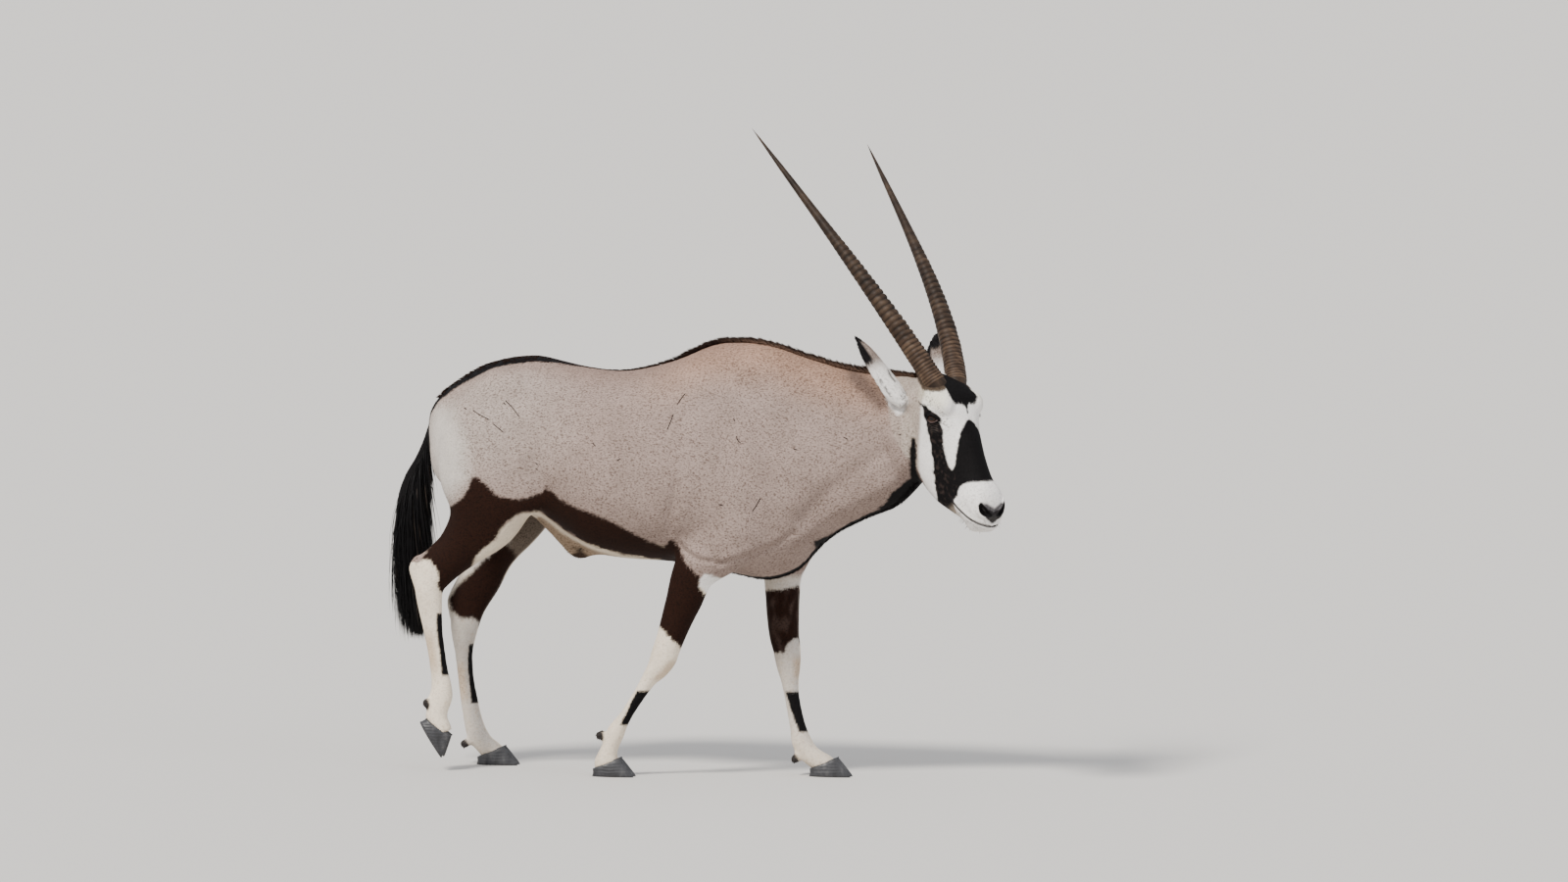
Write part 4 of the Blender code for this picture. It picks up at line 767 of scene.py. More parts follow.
def paint_body(points, normals):
    """Colours of the hide on trunk, neck, legs and dock."""
    right, left = on_other_leg(points, -1), on_other_leg(points, 1)
    spots, inner_spots = on_view(right), on_view(left)
    jitter = rough(points, 0.007) * 1.5 + rough(points, 0.024, 9.0) * 1.5
    blotch = rough(points, 0.09, 3.0)
    off = points[:, 1] - neck_middle(points[:, 0])
    inner = ramp(-normals[:, 1] * np.sign(off), 0.05, 0.35)
    outer = 1 - inner
    x, _, z = right.T
    own_x = points[:, 0]
    up = normals[:, 2]

    below_top = z - trunk_line(x, 2)
    # Painted shade: the belly and the trunk's underside, where it faces straight down, take the belly's skin
    # colour darkened as in shade.
    under = ramp(-up, 0.70, 0.90) * ramp(-x, -0.03, 0.03) * ramp(-z, -0.66, -0.62)
    belly = np.maximum(patch(spots, BELLY, jitter, 2.0), under)
    rim = ramp(depth_inside(spots, BAND), -6.5, -2.5) * outer
    colour = layered(np.tile(np.array(FAWN), (len(points), 1)), (
        (WARM, ramp(below_top, -0.16, -0.01) * ramp(x, -0.20, 0.08)),
        (PALE, 0.30 * ramp(-x, 0.20, 0.55) * ramp(z, 0.70, 0.95)),
        (BACK_TAN, 0.55 * ramp(below_top, -0.070, 0.0) * (1 - ramp(x, 0.1, 0.2))),
        # Painted shade: the more a surface faces downwards, the darker it is drawn.
        (DOWNWARD_SHADE, 0.30 * ramp(-up, -0.15, 0.6)),
        (GREY, np.clip(0.08 * blotch, 0, 1)),
        (PALE, patch(spots, BUTTOCK, jitter - 3, 15.0)),
        (NAPE_TAN, patch(spots, NAPE, jitter, 6.0) * 0.9),
        (BELLY_SKIN_IN_SHADE, belly),
        (CREAM, belly * (0.85 * rim + 0.35 * ramp(x, -0.20, 0.0))),
    ))

    fore = x > FORE_FROM
    middle, deep = np.empty(len(x)), np.empty(len(x))
    for which, rows in ((fore, FORE_RIGHT), (~fore, HIND_RIGHT)):
        middle[which], deep[which] = leg_line(rows, z[which])
    ahead = (x - middle) / deep
    limit = np.where(z < 0.56, 2.4, 1.5)
    on_leg = ramp(limit - np.abs(ahead), 0.0, 0.2) * ramp(np.abs(off), 0.045, 0.070)
    limb = on_leg * ramp(np.where(fore, 0.530, 0.615) - z, -0.012, 0.012)
    knee = np.where(fore, zone(z, 0.265, 0.320, 0.012) * ramp(ahead, 0.2, 0.8),
                    zone(z, 0.270, 0.370, 0.025) * ramp(-ahead, -0.5, 0.3))
    # Painted sheen: where the dark inner side of the far fore leg is drawn lighter.
    painted_light = ramp(rough(points * (1, 1, 0.5), 0.015, 21.0), -0.2, 0.5)
    breast = np.interp(own_x, *BREAST_WIDTHS)
    breast = ramp(breast + jitter * 0.003 - np.abs(off), -0.004, 0.004) * ramp(-up, -0.35, 0.0)
    colour = layered(colour, (
        (LEG_WHITE, limb),
        (PALE, inner * on_leg * ramp(np.where(fore, 0.535, 0.70) - z, -0.02, 0.02)),
        (CREAM, limb * (0.32 + 0.25 * blotch) * ramp(-ahead, -0.9, 0.9)),
        (CREAM, limb * 0.6 * ramp(-z, -0.17, -0.08)),
        (BUFF, limb * knee * 0.6),
        (BUFF, limb * ramp(rough(points, 0.006, 11.0), 0.25, 0.5) * 0.35),
        (BROWN, patch(spots, THIGH, jitter) * outer),
        (CREAM, patch(spots, FRINGE, jitter, 2.0) * outer * 0.9),
        (BROWN, patch(spots, BAND, jitter, 1.6) * (1 - inner * ramp(-z, -0.6, -0.55))),
        (BROWN, patch(spots, FORELEG, jitter) * outer),
        (WHITE, patch(spots, FORELEG_SPOT, jitter) * outer),
        # Painted shade between the thighs, on the inner side of the far hind leg.
        (THIGH_GAP_SHADE, patch(inner_spots, INNER_THIGH_SHADE, jitter, 4.0) * inner),
        (BROWN, patch(inner_spots, FORE_INNER, jitter) * inner),
        # Painted sheen in lighter mottles over the far fore leg's dark inner side.
        (INNER_SHEEN_BROWN, painted_light * inner * patch(inner_spots, FORE_INNER, jitter - 2) * 0.7),
        (BROWN, patch(inner_spots, HIND_INNER, jitter, 2.5) * inner),
        (BLACK, patch(spots, THROAT, jitter, 1.6)),
        (BLACK, breast * ramp(own_x, 0.03, 0.08)),
    ))

    edge = np.where(fore, np.interp(z, (0.14, 0.235), (0.15, -0.60)),
                    np.interp(z, (0.26, 0.42), (0.35, 0.60)))
    reach = np.where(fore, zone(z, 0.140, 0.235, 0.003), zone(z, 0.258, 0.425, 0.003))
    colour = mixed(colour, BLACK, limb * reach * ramp(ahead - edge + jitter * 0.05, -0.08, 0.08))
    for x_claw, y_claw, z_claw in DEWCLAW_PLACES:
        away = (points - (x_claw - 0.004, y_claw, z_claw - 0.003)) / DEWCLAW_SIZES
        colour = mixed(colour, CLAW_GREY, ramp(-np.linalg.norm(away, axis=1), -1.25, -0.95))
    tip = np.linalg.norm((points - SHEATH_TIP) / (0.021, 0.021, 0.014), axis=1)
    stripe = ramp(np.interp(own_x, *STRIPE_WIDTHS) + jitter * 0.004 - np.abs(off), -0.004, 0.004)
    dock = ramp(-own_x, 0.700, 0.716) * ramp(0.034 - np.abs(points[:, 1]), -0.003, 0.003)
    return layered(colour, (
        (BROWN, ramp(-tip, -1.5, -0.9) * 0.9),
        (BLACK, stripe * ramp(up, -0.3, 0.1) * np.interp(own_x, *STRIPE_STRENGTH)),
        (BLACK, dock * ramp(-z, -0.985, -0.95)),
    ))


def paint_head(points, normals):
    """Colours of the hide on the head."""
    local = in_head(points)
    folded = np.stack([local[:, 0], -np.abs(local[:, 1]), local[:, 2]], axis=1)
    spots = on_view(moved(folded, HEAD))
    jitter = rough(points, 0.005) * 0.9 + rough(points, 0.014, 5.0) * 0.9
    blotch = rough(points, 0.05, 2.0)
    specks = ramp(rough(points, 0.0045, 7.0), 0.22, 0.42)
    sheen = ramp(rough(points, 0.009, 15.0), 0.05, 0.45)
    reach = eye_reach(local)[0]
    lift, ahead, wrinkle = under_eye(local)
    return layered(np.tile(np.array(FAWN), (len(points), 1)), (
        (TAN, np.full(len(points), 0.5)),
        (WHITE, patch(spots, FACE, jitter, 2.0)),
        (TAN, patch(spots, BEHIND_EYE, jitter, 2.5) * (0.75 + 0.3 * blotch)),
        # Painted shade in the crease behind each horn's base.
        (CREASE_SHADE, patch(spots, HORN_CREASE_SHADE, jitter * 0.5, 1.2) * 0.85),
        (WHITE, patch(spots, EAR_FOOT, jitter, 2.0) * 0.9),
        (GLOW, patch(spots, HORN_GLOW, jitter, 6.0) * 0.7),
        (HORN_BASE, patch(spots, HORN_FOOT, jitter * 0.8, 1.0)),
        (SPECK, specks * patch(spots, EYE_SPECKS, jitter, 4.0) * 0.95),
        *((BLACK, patch(spots, outline, jitter, 0.8)) for outline in (STRIPE, BLAZE, CROWN)),
        (SHEEN, sheen * patch(spots, STRIPE, jitter - 1.0, 1.5)),
        (WHITE, patch(spots, MUZZLE, jitter, 0.8)),
        (GREY, specks * patch(spots, MUZZLE, jitter, 2.0) * 0.30),
        # Painted shade in the notch between each nostril and the nose pad.
        (NOTCH_SHADE, patch(spots, NOSE_NOTCH_SHADE, jitter * 0.4, 1.5) * 0.95),
        (NOSE_BLACK, patch(spots, NOSE_TIP, jitter * 0.6, 0.8) * 0.96),
        # Painted shade on the underside of the chin.
        (CHIN_SHADE, ramp(-local[:, 2], 0.075, 0.10) * ramp(local[:, 0], 0.23, 0.26) * 0.7),
        (BLACK, patch(on_view(on_other_leg(points, -1)), THROAT, jitter, 1.4)),
        (LIP_BLACK, ramp(-mouth_gap(local), -0.0050, -0.0024) * 0.95),
        # The nostrils drawn black: their dark rims, and painted shade in the holes.
        (BLACK, ramp(1.35 - nostril_reach(local), -0.15, 0.15)),
        (BLACK, ramp(2.1 - reach, -0.3, 0.3)),
        # Painted highlight: the ridges of the wrinkles below each eye drawn lighter than the black around
        # them.
        (WRINKLE_HIGHLIGHT, ramp(wrinkle, 0.1, 0.9) * wrinkled(lift, ahead)),
        (LID_BROWN, zone(reach, 1.02, 1.32, 0.10) * ramp(-lift, 0.001, 0.004)),
    ))


def paint(points, normals):
    """Colours of the hide anywhere."""
    on_head = head_share(points)
    colour = np.empty((len(points), 3))
    for part, painter in ((on_head > 0.5, paint_head), (on_head <= 0.5, paint_body)):
        if part.any():
            colour[part] = painter(points[part], normals[part])
    return colour


def eye_axes(side):
    """The way the eye looks, along its opening and across it, for one side."""
    way = mirrored(EYE_WAY, side)
    along = Vector((math.cos(EYE_TILT), 0, -math.sin(EYE_TILT)))
    along = (along - way * along.dot(way)).normalized()
    return way, along, way.cross(along)


def eye_reach(local):
    """For points in the head's frame: 1 on the rim of the nearer eye's opening and less inside,
    their place along the opening, across it and out of it, and that eye's side."""
    found = np.full(len(local), 99.0)
    places = np.zeros((len(local), 3))
    sides = np.ones(len(local))
    for side in (-1, 1):
        axes = [np.array(axis) for axis in eye_axes(side)]
        gap = local - np.array(mirrored(EYE_CENTRE, side))
        w, a, b = (gap @ axis for axis in axes)
        r = ((np.abs(a) / EYE_OPENING[0]) ** 1.6 + (np.abs(b) / EYE_OPENING[1]) ** 1.6) ** (1 / 1.6)
        r[w < -0.005] = 99.0
        closer = r < found
        found[closer], sides[closer] = r[closer], side
        places[closer] = np.stack([a, b, w], axis=1)[closer]
    return found, places, sides


def wrinkled(lift, ahead):
    """Share of the wrinkled skin below an eye, for heights above its middle and ways ahead of it."""
    return zone(lift, -0.036, -0.010, 0.003) * zone(ahead, -0.014, 0.012, 0.003)


def under_eye(local):
    """For points in the head's frame: how far above the nearer eye's middle, how far ahead of it,
    and the height of the fine wrinkles that run below it, from -1 to 1."""
    gap = local * (1, 0, 1) - (EYE_CENTRE.x, 0, EYE_CENTRE.z) - 0.019 * np.array(EYE_WAY) * (1, 0, 1)
    tilt = -HEAD_PITCH
    lift = gap[:, 0] * math.sin(tilt) + gap[:, 2] * math.cos(tilt)
    ahead = gap[:, 0] * math.cos(tilt) - gap[:, 2] * math.sin(tilt)
    sag = lift + 22.0 * (ahead + 0.001) ** 2
    return lift, ahead, np.sin(sag / 0.0062 * 2 * math.pi + 1.2 * np.sin(ahead * 260))


def nostril_reach(local):
    """For points in the head's frame: 1 on the rim of the nearer nostril, less inside."""
    gap = local - (NOSTRIL[0], 0, 0)
    across = np.abs(local[:, 1]) - NOSTRIL[1]
    c, s = math.cos(NOSTRIL_TURN), math.sin(NOSTRIL_TURN)
    a, b = gap[:, 0] * c + across * s, -gap[:, 0] * s + across * c
    b = b + 12.0 * a ** 2 - 0.002
    r = np.hypot(a / NOSTRIL_SIZES[0], b / NOSTRIL_SIZES[1])
    return np.where(local[:, 2] > -0.055, r, 99.0)


def mouth_gap(local):
    """How far points in the head's frame are from the line of the mouth."""
    folded = np.stack([local[:, 0], np.abs(local[:, 1]), local[:, 2]], axis=1)
    return gap_to_line(folded, smooth_rows(MOUTH, 4))


def values_of(items, name, width, kind=np.float32):
    """One measure of each of a mesh's items, as rows."""
    found = np.empty(len(items) * width, kind)
    items.foreach_get(name, found)
    return found.reshape(-1, width)


def arrays(mesh):
    """Points, point normals and triangles of a mesh."""
    mesh.calc_loop_triangles()
    points, normals = (values_of(mesh.vertices, name, 3).astype(float) for name in ("co", "normal"))
    return points, normals, values_of(mesh.loop_triangles, "vertices", 3, np.int32)


def set_points(mesh, points):
    """Moves the mesh's points to new places."""
    mesh.vertices.foreach_set("co", np.asarray(points, np.float32).ravel())
    mesh.update()


def refined(mesh, chosen):
    """The mesh with the faces whose middles the function picks cut finer."""
    shape = bmesh.new()
    shape.from_mesh(mesh)
    centres = np.array([face.calc_center_median() for face in shape.faces])
    picked = chosen(centres)
    edges = {edge for face, wanted in zip(shape.faces, picked) if wanted for edge in face.edges}
    bmesh.ops.subdivide_edges(shape, edges=list(edges), cuts=1, use_grid_fill=True)
    bmesh.ops.triangulate(shape, faces=[face for face in shape.faces if len(face.verts) > 4])
    fine = bpy.data.meshes.new("fine")
    shape.to_mesh(fine)
    shape.free()
    return fine


def smoothed(mesh, rounds, chosen):
    """Draws the picked points towards their neighbours."""
    points, _, _ = arrays(mesh)
    ends = values_of(mesh.edges, "vertices", 2, np.int32)
    set_points(mesh, relaxed(points, ends, rounds, 0.5 * chosen(points)))


def near_face_details(points):
    """1 close to the eyes, the nostrils and the mouth."""
    local = in_head(points)
    reach, _, _ = eye_reach(local)
    lift, ahead, _ = under_eye(local)
    below = (lift > -0.040) & (lift < 0.0) & (np.abs(ahead) < 0.018) & (np.abs(local[:, 1]) > 0.03)
    return (reach < 2.8) | below | (nostril_reach(local) < 2.6) | (mouth_gap(local) < 0.010)


def shape_eyes(points):
    """The points with the lids raised round the eyes and the skin inside them sunk."""
    local = in_head(points)
    reach, places, sides = eye_reach(local)
    spread = np.hypot(places[:, 0], places[:, 1])
    lid = np.sqrt(np.clip((EYE_RADIUS + 0.0020) ** 2 - spread ** 2, 0, None))
    sunk = np.sqrt(np.clip(EYE_RADIUS ** 2 - spread ** 2, 0, None)) - 0.006
    wanted = np.where(reach < 1.6, lid, places[:, 2])
    wanted = wanted + 0.0007 * zone(reach, 1.0, 1.4, 0.15)
    wanted = wanted + (sunk - wanted) * (1 - ramp(reach, 0.86, 1.0))
    share = 1 - ramp(reach, 1.5, 2.7)
    share[reach > 3] = 0
    wanted = wanted - 0.0016 * zone(reach, 1.65, 1.95, 0.2) * (places[:, 1] * sides < 0.03)
    ways = np.where(sides[:, None] > 0, np.array(eye_axes(1)[0]), np.array(eye_axes(-1)[0]))
    shifted = local + ways * ((wanted - places[:, 2]) * share)[:, None]
    return moved(shifted, HEAD)


def shape_folds(points, normals):
    """The points with the folds of the body and the wrinkles under the eyes drawn in."""
    off = points[:, 1] - neck_middle(points[:, 0])
    outer = ramp(normals[:, 1] * np.sign(off), 0.0, 0.3) * (points[:, 2] > 0.50)
    spots = on_view(on_other_leg(points, -1))
    move = np.zeros(len(points))
    for line, half, height in FOLDS:
        move += height * np.exp(-(gap_to_line(spots, line) / half) ** 2)
    move *= outer * (1 - head_share(points))
    local = in_head(points)
    lift, ahead, wrinkle = under_eye(local)
    near = wrinkled(lift, ahead) * (np.abs(local[:, 1]) > 0.03)
    return points + normals * (move + 0.0009 * wrinkle * near * head_share(points))[:, None]


def shape_muzzle(points, normals):
    """The points with the nostrils sunk, their wings raised, and the line of the mouth drawn in."""
    local = in_head(points)
    hole = nostril_reach(local)
    move = -0.010 * (1 - ramp(hole, 0.45, 1.15)) + 0.0016 * zone(hole, 1.2, 1.9, 0.25)
    gap = mouth_gap(local)
    move += -0.0038 * np.exp(-(gap / 0.0019) ** 2) + 0.0013 * np.exp(-((gap - 0.0065) / 0.0035) ** 2)
    return points + normals * move[:, None]


def in_foot(points, foot):
    """The points in a foot's frame, and how far they lie below its coronet."""
    local = moved(points, foot.inverted())
    return local, CORONET_HEIGHT + CORONET_SLOPE * local[:, 0] - local[:, 2]


def tuck_into_hooves(points):
    """The points below each coronet drawn in, so that the claws hold them."""
    points = points.copy()
    for foot in FEET.values():
        local, below = in_foot(points, foot)
        close = (np.hypot(local[:, 0], local[:, 1]) < 0.075) & (below > -0.004)
        share = ramp(below, -0.002, 0.004) * close
        local[:, 0] += (0.008 - local[:, 0]) * 0.35 * share
        local[:, 1] *= 1 - 0.40 * share
        local[:, 2] = np.where(close, np.maximum(local[:, 2], 0.012), local[:, 2])
        points[close] = moved(local, foot)[close]
    return points


def make_skin():
    """The one skin of the whole animal, in its own frame, as deep as the roots of its hair."""
    points, quads = flesh(SKIN_VOXEL)
    mesh = new_mesh("skin", points, quads)
    mesh = refined(mesh, lambda p: head_share(p) > 0.5)
    smoothed(mesh, 3, head_share)
    mesh = refined(mesh, near_face_details)
    smoothed(mesh, 2, lambda p: near_face_details(p).astype(float))
    points, normals, _ = arrays(mesh)
    local = in_head(points)
    bare = (1 - ramp(eye_reach(local)[0], 1.5, 2.5)) + (1 - ramp(nostril_reach(local), 1.2, 2.4))
    points = points - normals * (COAT_DEPTH * (1 - np.clip(bare, 0, 1)))[:, None]
    points = shape_eyes(shape_muzzle(points, normals))
    set_points(mesh, tuck_into_hooves(shape_folds(points, normals)))
    return mesh


def coloured(mesh, colours):
    """Stores a colour for each point of the mesh, and how much its flecks show as the alpha."""
    layer = mesh.color_attributes.new("Coat", "FLOAT_COLOR", "POINT")
    flecked = 1 - 0.72 * ramp(colours.mean(axis=1, keepdims=True), *PALE_FROM)
    layer.data.foreach_set("color", np.hstack([colours, flecked]).astype(np.float32).ravel())


def crest_share(points):
    """1 on the sides of the crest from the withers to the poll, where the hair is longer."""
    x, _, z = points.T
    return ramp(z - trunk_line(x, 2), -0.150, -0.050) * ramp(x, 0.00, 0.14) * (1 - head_share(points))


def lie(points, normals):
    """The way the hair lies at the points."""
    x, y, z = points.T
    way = np.tile(np.array((-1.0, 0.0, -0.30)), (len(points), 1))
    for there, other in (
            (ramp(-z, -0.66, -0.52), (-0.15, 0.0, -1.0)),
            (ramp(x, 0.15, 0.40) * ramp(z, 0.60, 0.70), (-0.85, 0.0, -0.55)),
            (crest_share(points), (-0.62, 0.0, -0.78)),
            (head_share(points), np.array(HEAD)[:3, :3] @ np.array((-1.0, 0.0, -0.25))),
            (ramp(-x, 0.70, 0.72) * (np.abs(y) < 0.04), (-0.25, 0.0, -1.0))):
        way = way * (1 - there[:, None]) + np.array(other) * there[:, None]
    return units(way - normals * np.sum(way * normals, axis=1)[:, None])


def atlas(points):
    """Each point's place on a flat chart of the skin: a strip for the trunk, the head and each leg."""
    local = in_head(points)
    on_head = head_share(points) > 0.5
    x, y, z = points.T
    off = y - neck_middle(x)
    level = np.interp(x, (-0.7, 0.3, 0.6), (0.93, 0.85, 0.93))
    u = np.arctan2(off, z - level) / (2 * math.pi) + 0.5
    chart = np.stack([0.02 + 0.46 * u, 0.02 + 0.96 * np.clip((x + 0.80) / 1.50, 0, 1)], axis=1)
    leg = (z < 0.60) & ~on_head & (np.abs(off) > 0.02) & ((x < -0.3) | (z < 0.54))
    for i, (name, side) in enumerate(LEGS):
        which = leg & ((x > -0.3) == (name == "fore")) & (np.sign(off) == side)
        middle, _ = leg_line(LEGS[name, side], z[which])
        turn = np.arctan2(x[which] - middle, off[which] - side * 0.11) / (2 * math.pi) + 0.5
        chart[which] = np.stack([0.51 + 0.115 * i + 0.105 * turn, 0.02 + 0.46 * z[which] / 0.62], axis=1)
    turn = np.arctan2(local[:, 1], local[:, 2] + 0.09) / (2 * math.pi) + 0.5
    head = np.stack([0.51 + 0.46 * turn, 0.52 + 0.46 * np.clip((local[:, 0] + 0.20) / 0.55, 0, 1)], axis=1)
    chart[on_head] = head[on_head]
    return chart


# Each tuft's patch on the flat chart, and how deep its root sits in the skin.
PATCH = 0.003
TUFT_SUNK = 0.0012


def hair(name, roots, normals, ways, sizes, colours, charts=None, bends=0.0, rings=2, tips=None,
         curl=(0.0, 0.0, 0.0), flat_lit=False, fade=0.0):
    """A coat piece: a closed, flat, tapered tuft at each root.

    ways: where each points; sizes: its length, half width, half thickness and rise from the skin;
    charts: its place on the flat chart, where the skin's own atlas doesn't give it;
    bends: how much of the way each turns to point along `curl` by its tip; tips: colours at the tips,
    from the share `fade` of the length on; flat_lit: the tufts take the skin's own normals.
    """
    count = len(roots)
    length, half, thick, rise = (np.broadcast_to(size, count)[:, None] for size in sizes)
    colours = np.broadcast_to(colours, (count, 3))
    shares = np.linspace(0, 1, rings + 1)
    profile = 1 - 0.75 * np.abs(shares - 0.30) ** 1.3 / 0.7 ** 1.3
    across = units(np.cross(normals, ways))
    blocks = []
    for share, full in zip(shares[:-1], profile[:-1]):
        centre = roots + ways * length * share + normals * (rise * share - TUFT_SUNK * (1 - share))
        centre = centre + np.array(curl) * (length * bends * share ** 2)
        blocks += [centre - across * half * full, centre + normals * thick * full * 2,
                   centre + across * half * full]
    blocks.append(roots + ways * length + normals * rise + np.array(curl) * (length * bends))
    points = np.stack(blocks, axis=1)
    each = points.shape[1]
    faces = [(0, 1, 2)]
    for a in range(0, each - 4, 3):
        for i in range(3):
            j = (i + 1) % 3
            faces += [(a + i, a + 3 + j, a + j), (a + i, a + 3 + i, a + 3 + j)]
    last = each - 4
    faces += [(last + (i + 1) % 3, last + i, each - 1) for i in range(3)]
    triangles = (np.array(faces)[None] + np.arange(count)[:, None, None] * each).reshape(-1, 3)
    mesh = bpy.data.meshes.new(name)
    mesh.vertices.add(count * each)
    mesh.vertices.foreach_set("co", (points.reshape(-1, 3) + np.array(SHIFT)).astype(np.float32).ravel())
    mesh.loops.add(len(triangles) * 3)
    mesh.loops.foreach_set("vertex_index", triangles.astype(np.int32).ravel())
    mesh.polygons.add(len(triangles))
    mesh.polygons.foreach_set("loop_start", np.arange(0, len(triangles) * 3, 3, dtype=np.int32))
    mesh.update(calc_edges=True)
    mesh.shade_smooth()
    ends = colours if tips is None else tips
    levels = np.repeat(shares[:-1], 3).tolist() + [1.0]
    tint = [colours + (ends - colours) * max(level - fade, 0) / (1 - fade) for level in levels]
    coloured(mesh, np.stack(tint, axis=1).reshape(-1, 3))
    spots = [((i % 3 - 1) * PATCH / 2, (i // 3 / rings - 0.5) * PATCH) for i in range(each - 1)]
    places = atlas(roots) if charts is None else charts
    flat = places[:, None, :] + np.array([*spots, (0.0, PATCH / 2)])[None]
    layer = mesh.uv_layers.new(name="OFBake")
    layer.data.foreach_set("uv", flat.reshape(-1, 2)[triangles.ravel()].astype(np.float32).ravel())
    if flat_lit:
        mesh.normals_split_custom_set_from_vertices(np.repeat(normals, each, axis=0).tolist())
    obj = bpy.data.objects.new(name, mesh)
    bpy.context.scene.collection.objects.link(obj)
    return obj


def scattered(points, triangles, weights, count, seed, values):
    """Places spread evenly over the triangles by weight, and the points' other values there."""
    a, b, c = (points[triangles[:, i]] for i in range(3))
    area = np.linalg.norm(np.cross(b - a, c - a), axis=1) / 2 * weights[triangles].mean(axis=1)
    total = np.cumsum(area)
    draw = np.random.default_rng(seed)
    where = (np.arange(count) + draw.random(count)) / count * total[-1]
    chosen = np.minimum(np.searchsorted(total, where), len(triangles) - 1)
    u, v = draw.random(count), draw.random(count)
    over = u + v > 1
    u[over], v[over] = 1 - u[over], 1 - v[over]
    shares = np.stack([1 - u - v, u, v], axis=1)
    return [np.einsum("nk,nkd->nd", shares, value[triangles[chosen]]) for value in (points, *values)]


def on_skin(tree, spots):
    """The nearest places of the skin to the spots, and the ways it faces there."""
    found = [tree.find_nearest(Vector(spot))[:2] for spot in spots]
    return np.array([place for place, _ in found]), np.array([normal for _, normal in found])


def hair_size(points):
    """Length, half width and rise of the coat's tufts at the points."""
    on_head = head_share(points)
    local = in_head(points)
    lower_leg = ramp(-points[:, 2], -0.60, -0.40)
    length = 0.0100 - 0.0035 * lower_leg + 0.0090 * crest_share(points)
    length = length + (0.0065 - length) * on_head
    length = length - 0.0020 * on_head * ramp(local[:, 0], 0.15, 0.28)
    half = 0.00085 - 0.0001 * np.maximum(lower_leg, on_head)
    rise = 0.0006 + 0.0002 * on_head
    return length, half, rise


def make_coat(skin):
    """The short coat over the whole skin, as several pieces."""
    points, normals, triangles = arrays(skin)
    local = in_head(points)
    on_head = head_share(points)
    weights = 1.0 + 2.4 * on_head + 1.2 * ramp(-points[:, 2], -0.60, -0.45)
    weights *= ramp(eye_reach(local)[0], 1.25, 1.5) * ramp(nostril_reach(local), 1.3, 1.8)
    weights *= ramp(mouth_gap(local), 0.003, 0.006)
    lift, ahead, _ = under_eye(local)
    bare = zone(lift, -0.038, 0.004, 0.003) * zone(ahead, -0.016, 0.014, 0.003) * on_head
    weights *= 1 - 0.85 * bare
    for foot in FEET.values():
        spot, below = in_foot(points, foot)
        weights[(np.hypot(spot[:, 0], spot[:, 1]) < 0.085) & (below > -0.001)] = 0
    per_piece = COAT_COUNT // COAT_PIECES
    roots, facing = scattered(points, triangles, weights, per_piece * COAT_PIECES, 3, [normals])
    facing = units(facing)
    ways = lie(roots, facing)
    draw = np.random.default_rng(5)
    swirl = rough(roots, 0.11, 31.0) * 0.35 + draw.normal(0, 0.16, len(roots))
    ways = ways * np.cos(swirl)[:, None] + np.cross(facing, ways) * np.sin(swirl)[:, None]
    colours = paint(roots, facing)
    light = 1 + draw.normal(0, 1, len(roots)) * (0.07 + 0.09 * crest_share(roots))
    fawn = 1 - ramp(colours.mean(axis=1), *PALE_FROM)
    dark = draw.random(len(roots)) < 0.012 + 0.070 * fawn * (1 - 0.8 * head_share(roots))
    light[dark] *= draw.uniform(0.48, 0.85, dark.sum())
    colours = np.clip(colours * light[:, None], 0.003, 0.95)
    length, half, rise = hair_size(roots)
    length = length * draw.uniform(0.75, 1.25, len(roots))
    tips = np.clip(colours * 1.06, 0, 0.95)
    measures = (roots, facing, ways, length, half, rise, colours * 0.95, tips, atlas(roots))
    pieces = []
    for i in range(COAT_PIECES):
        part = slice(i * per_piece, (i + 1) * per_piece)
        root, face, way, long, wide, high, colour, tip, chart = (measure[part] for measure in measures)
        pieces.append(hair(f"coat_{i + 1}", root, face, way, (long, wide, wide * 0.16, high), colour, chart,
                           tips=tip, flat_lit=True))
    return pieces


COAT_PIECES = 6
COAT_COUNT = 112000
MANE_COUNT = 8000
THROAT_COUNT = 2600
LASHES = 46
WHISKERS = 60
EAR_HAIR_COUNT = 3400
TAIL_COUNT = 3600
# Heights between which the tail's hair is rooted, and the strands it falls in.
TUFT_TOP = 0.900
TUFT_FOOT = 0.455
STRANDS = 90
# Along x: how far the mane's roots spread from its middle, how much it stands, and its length.
MANE_WIDTHS = ((-0.70, -0.40, -0.25, -0.05, 0.10, 0.30, 0.50, 0.62),
               (0.024, 0.036, 0.006, 0.009, 0.011, 0.010, 0.008, 0.004))
MANE_STANDS = ((-0.66, -0.30, -0.26, -0.10, -0.02, 0.10), (0.06, 0.06, 0.22, 0.30, 0.75, 1.0))
MANE_LENGTHS = ((-0.7, -0.3, -0.20, -0.05, 0.05, 0.20, 0.35, 0.50, 0.60),
                (0.009, 0.010, 0.012, 0.013, 0.016, 0.018, 0.021, 0.022, 0.018))


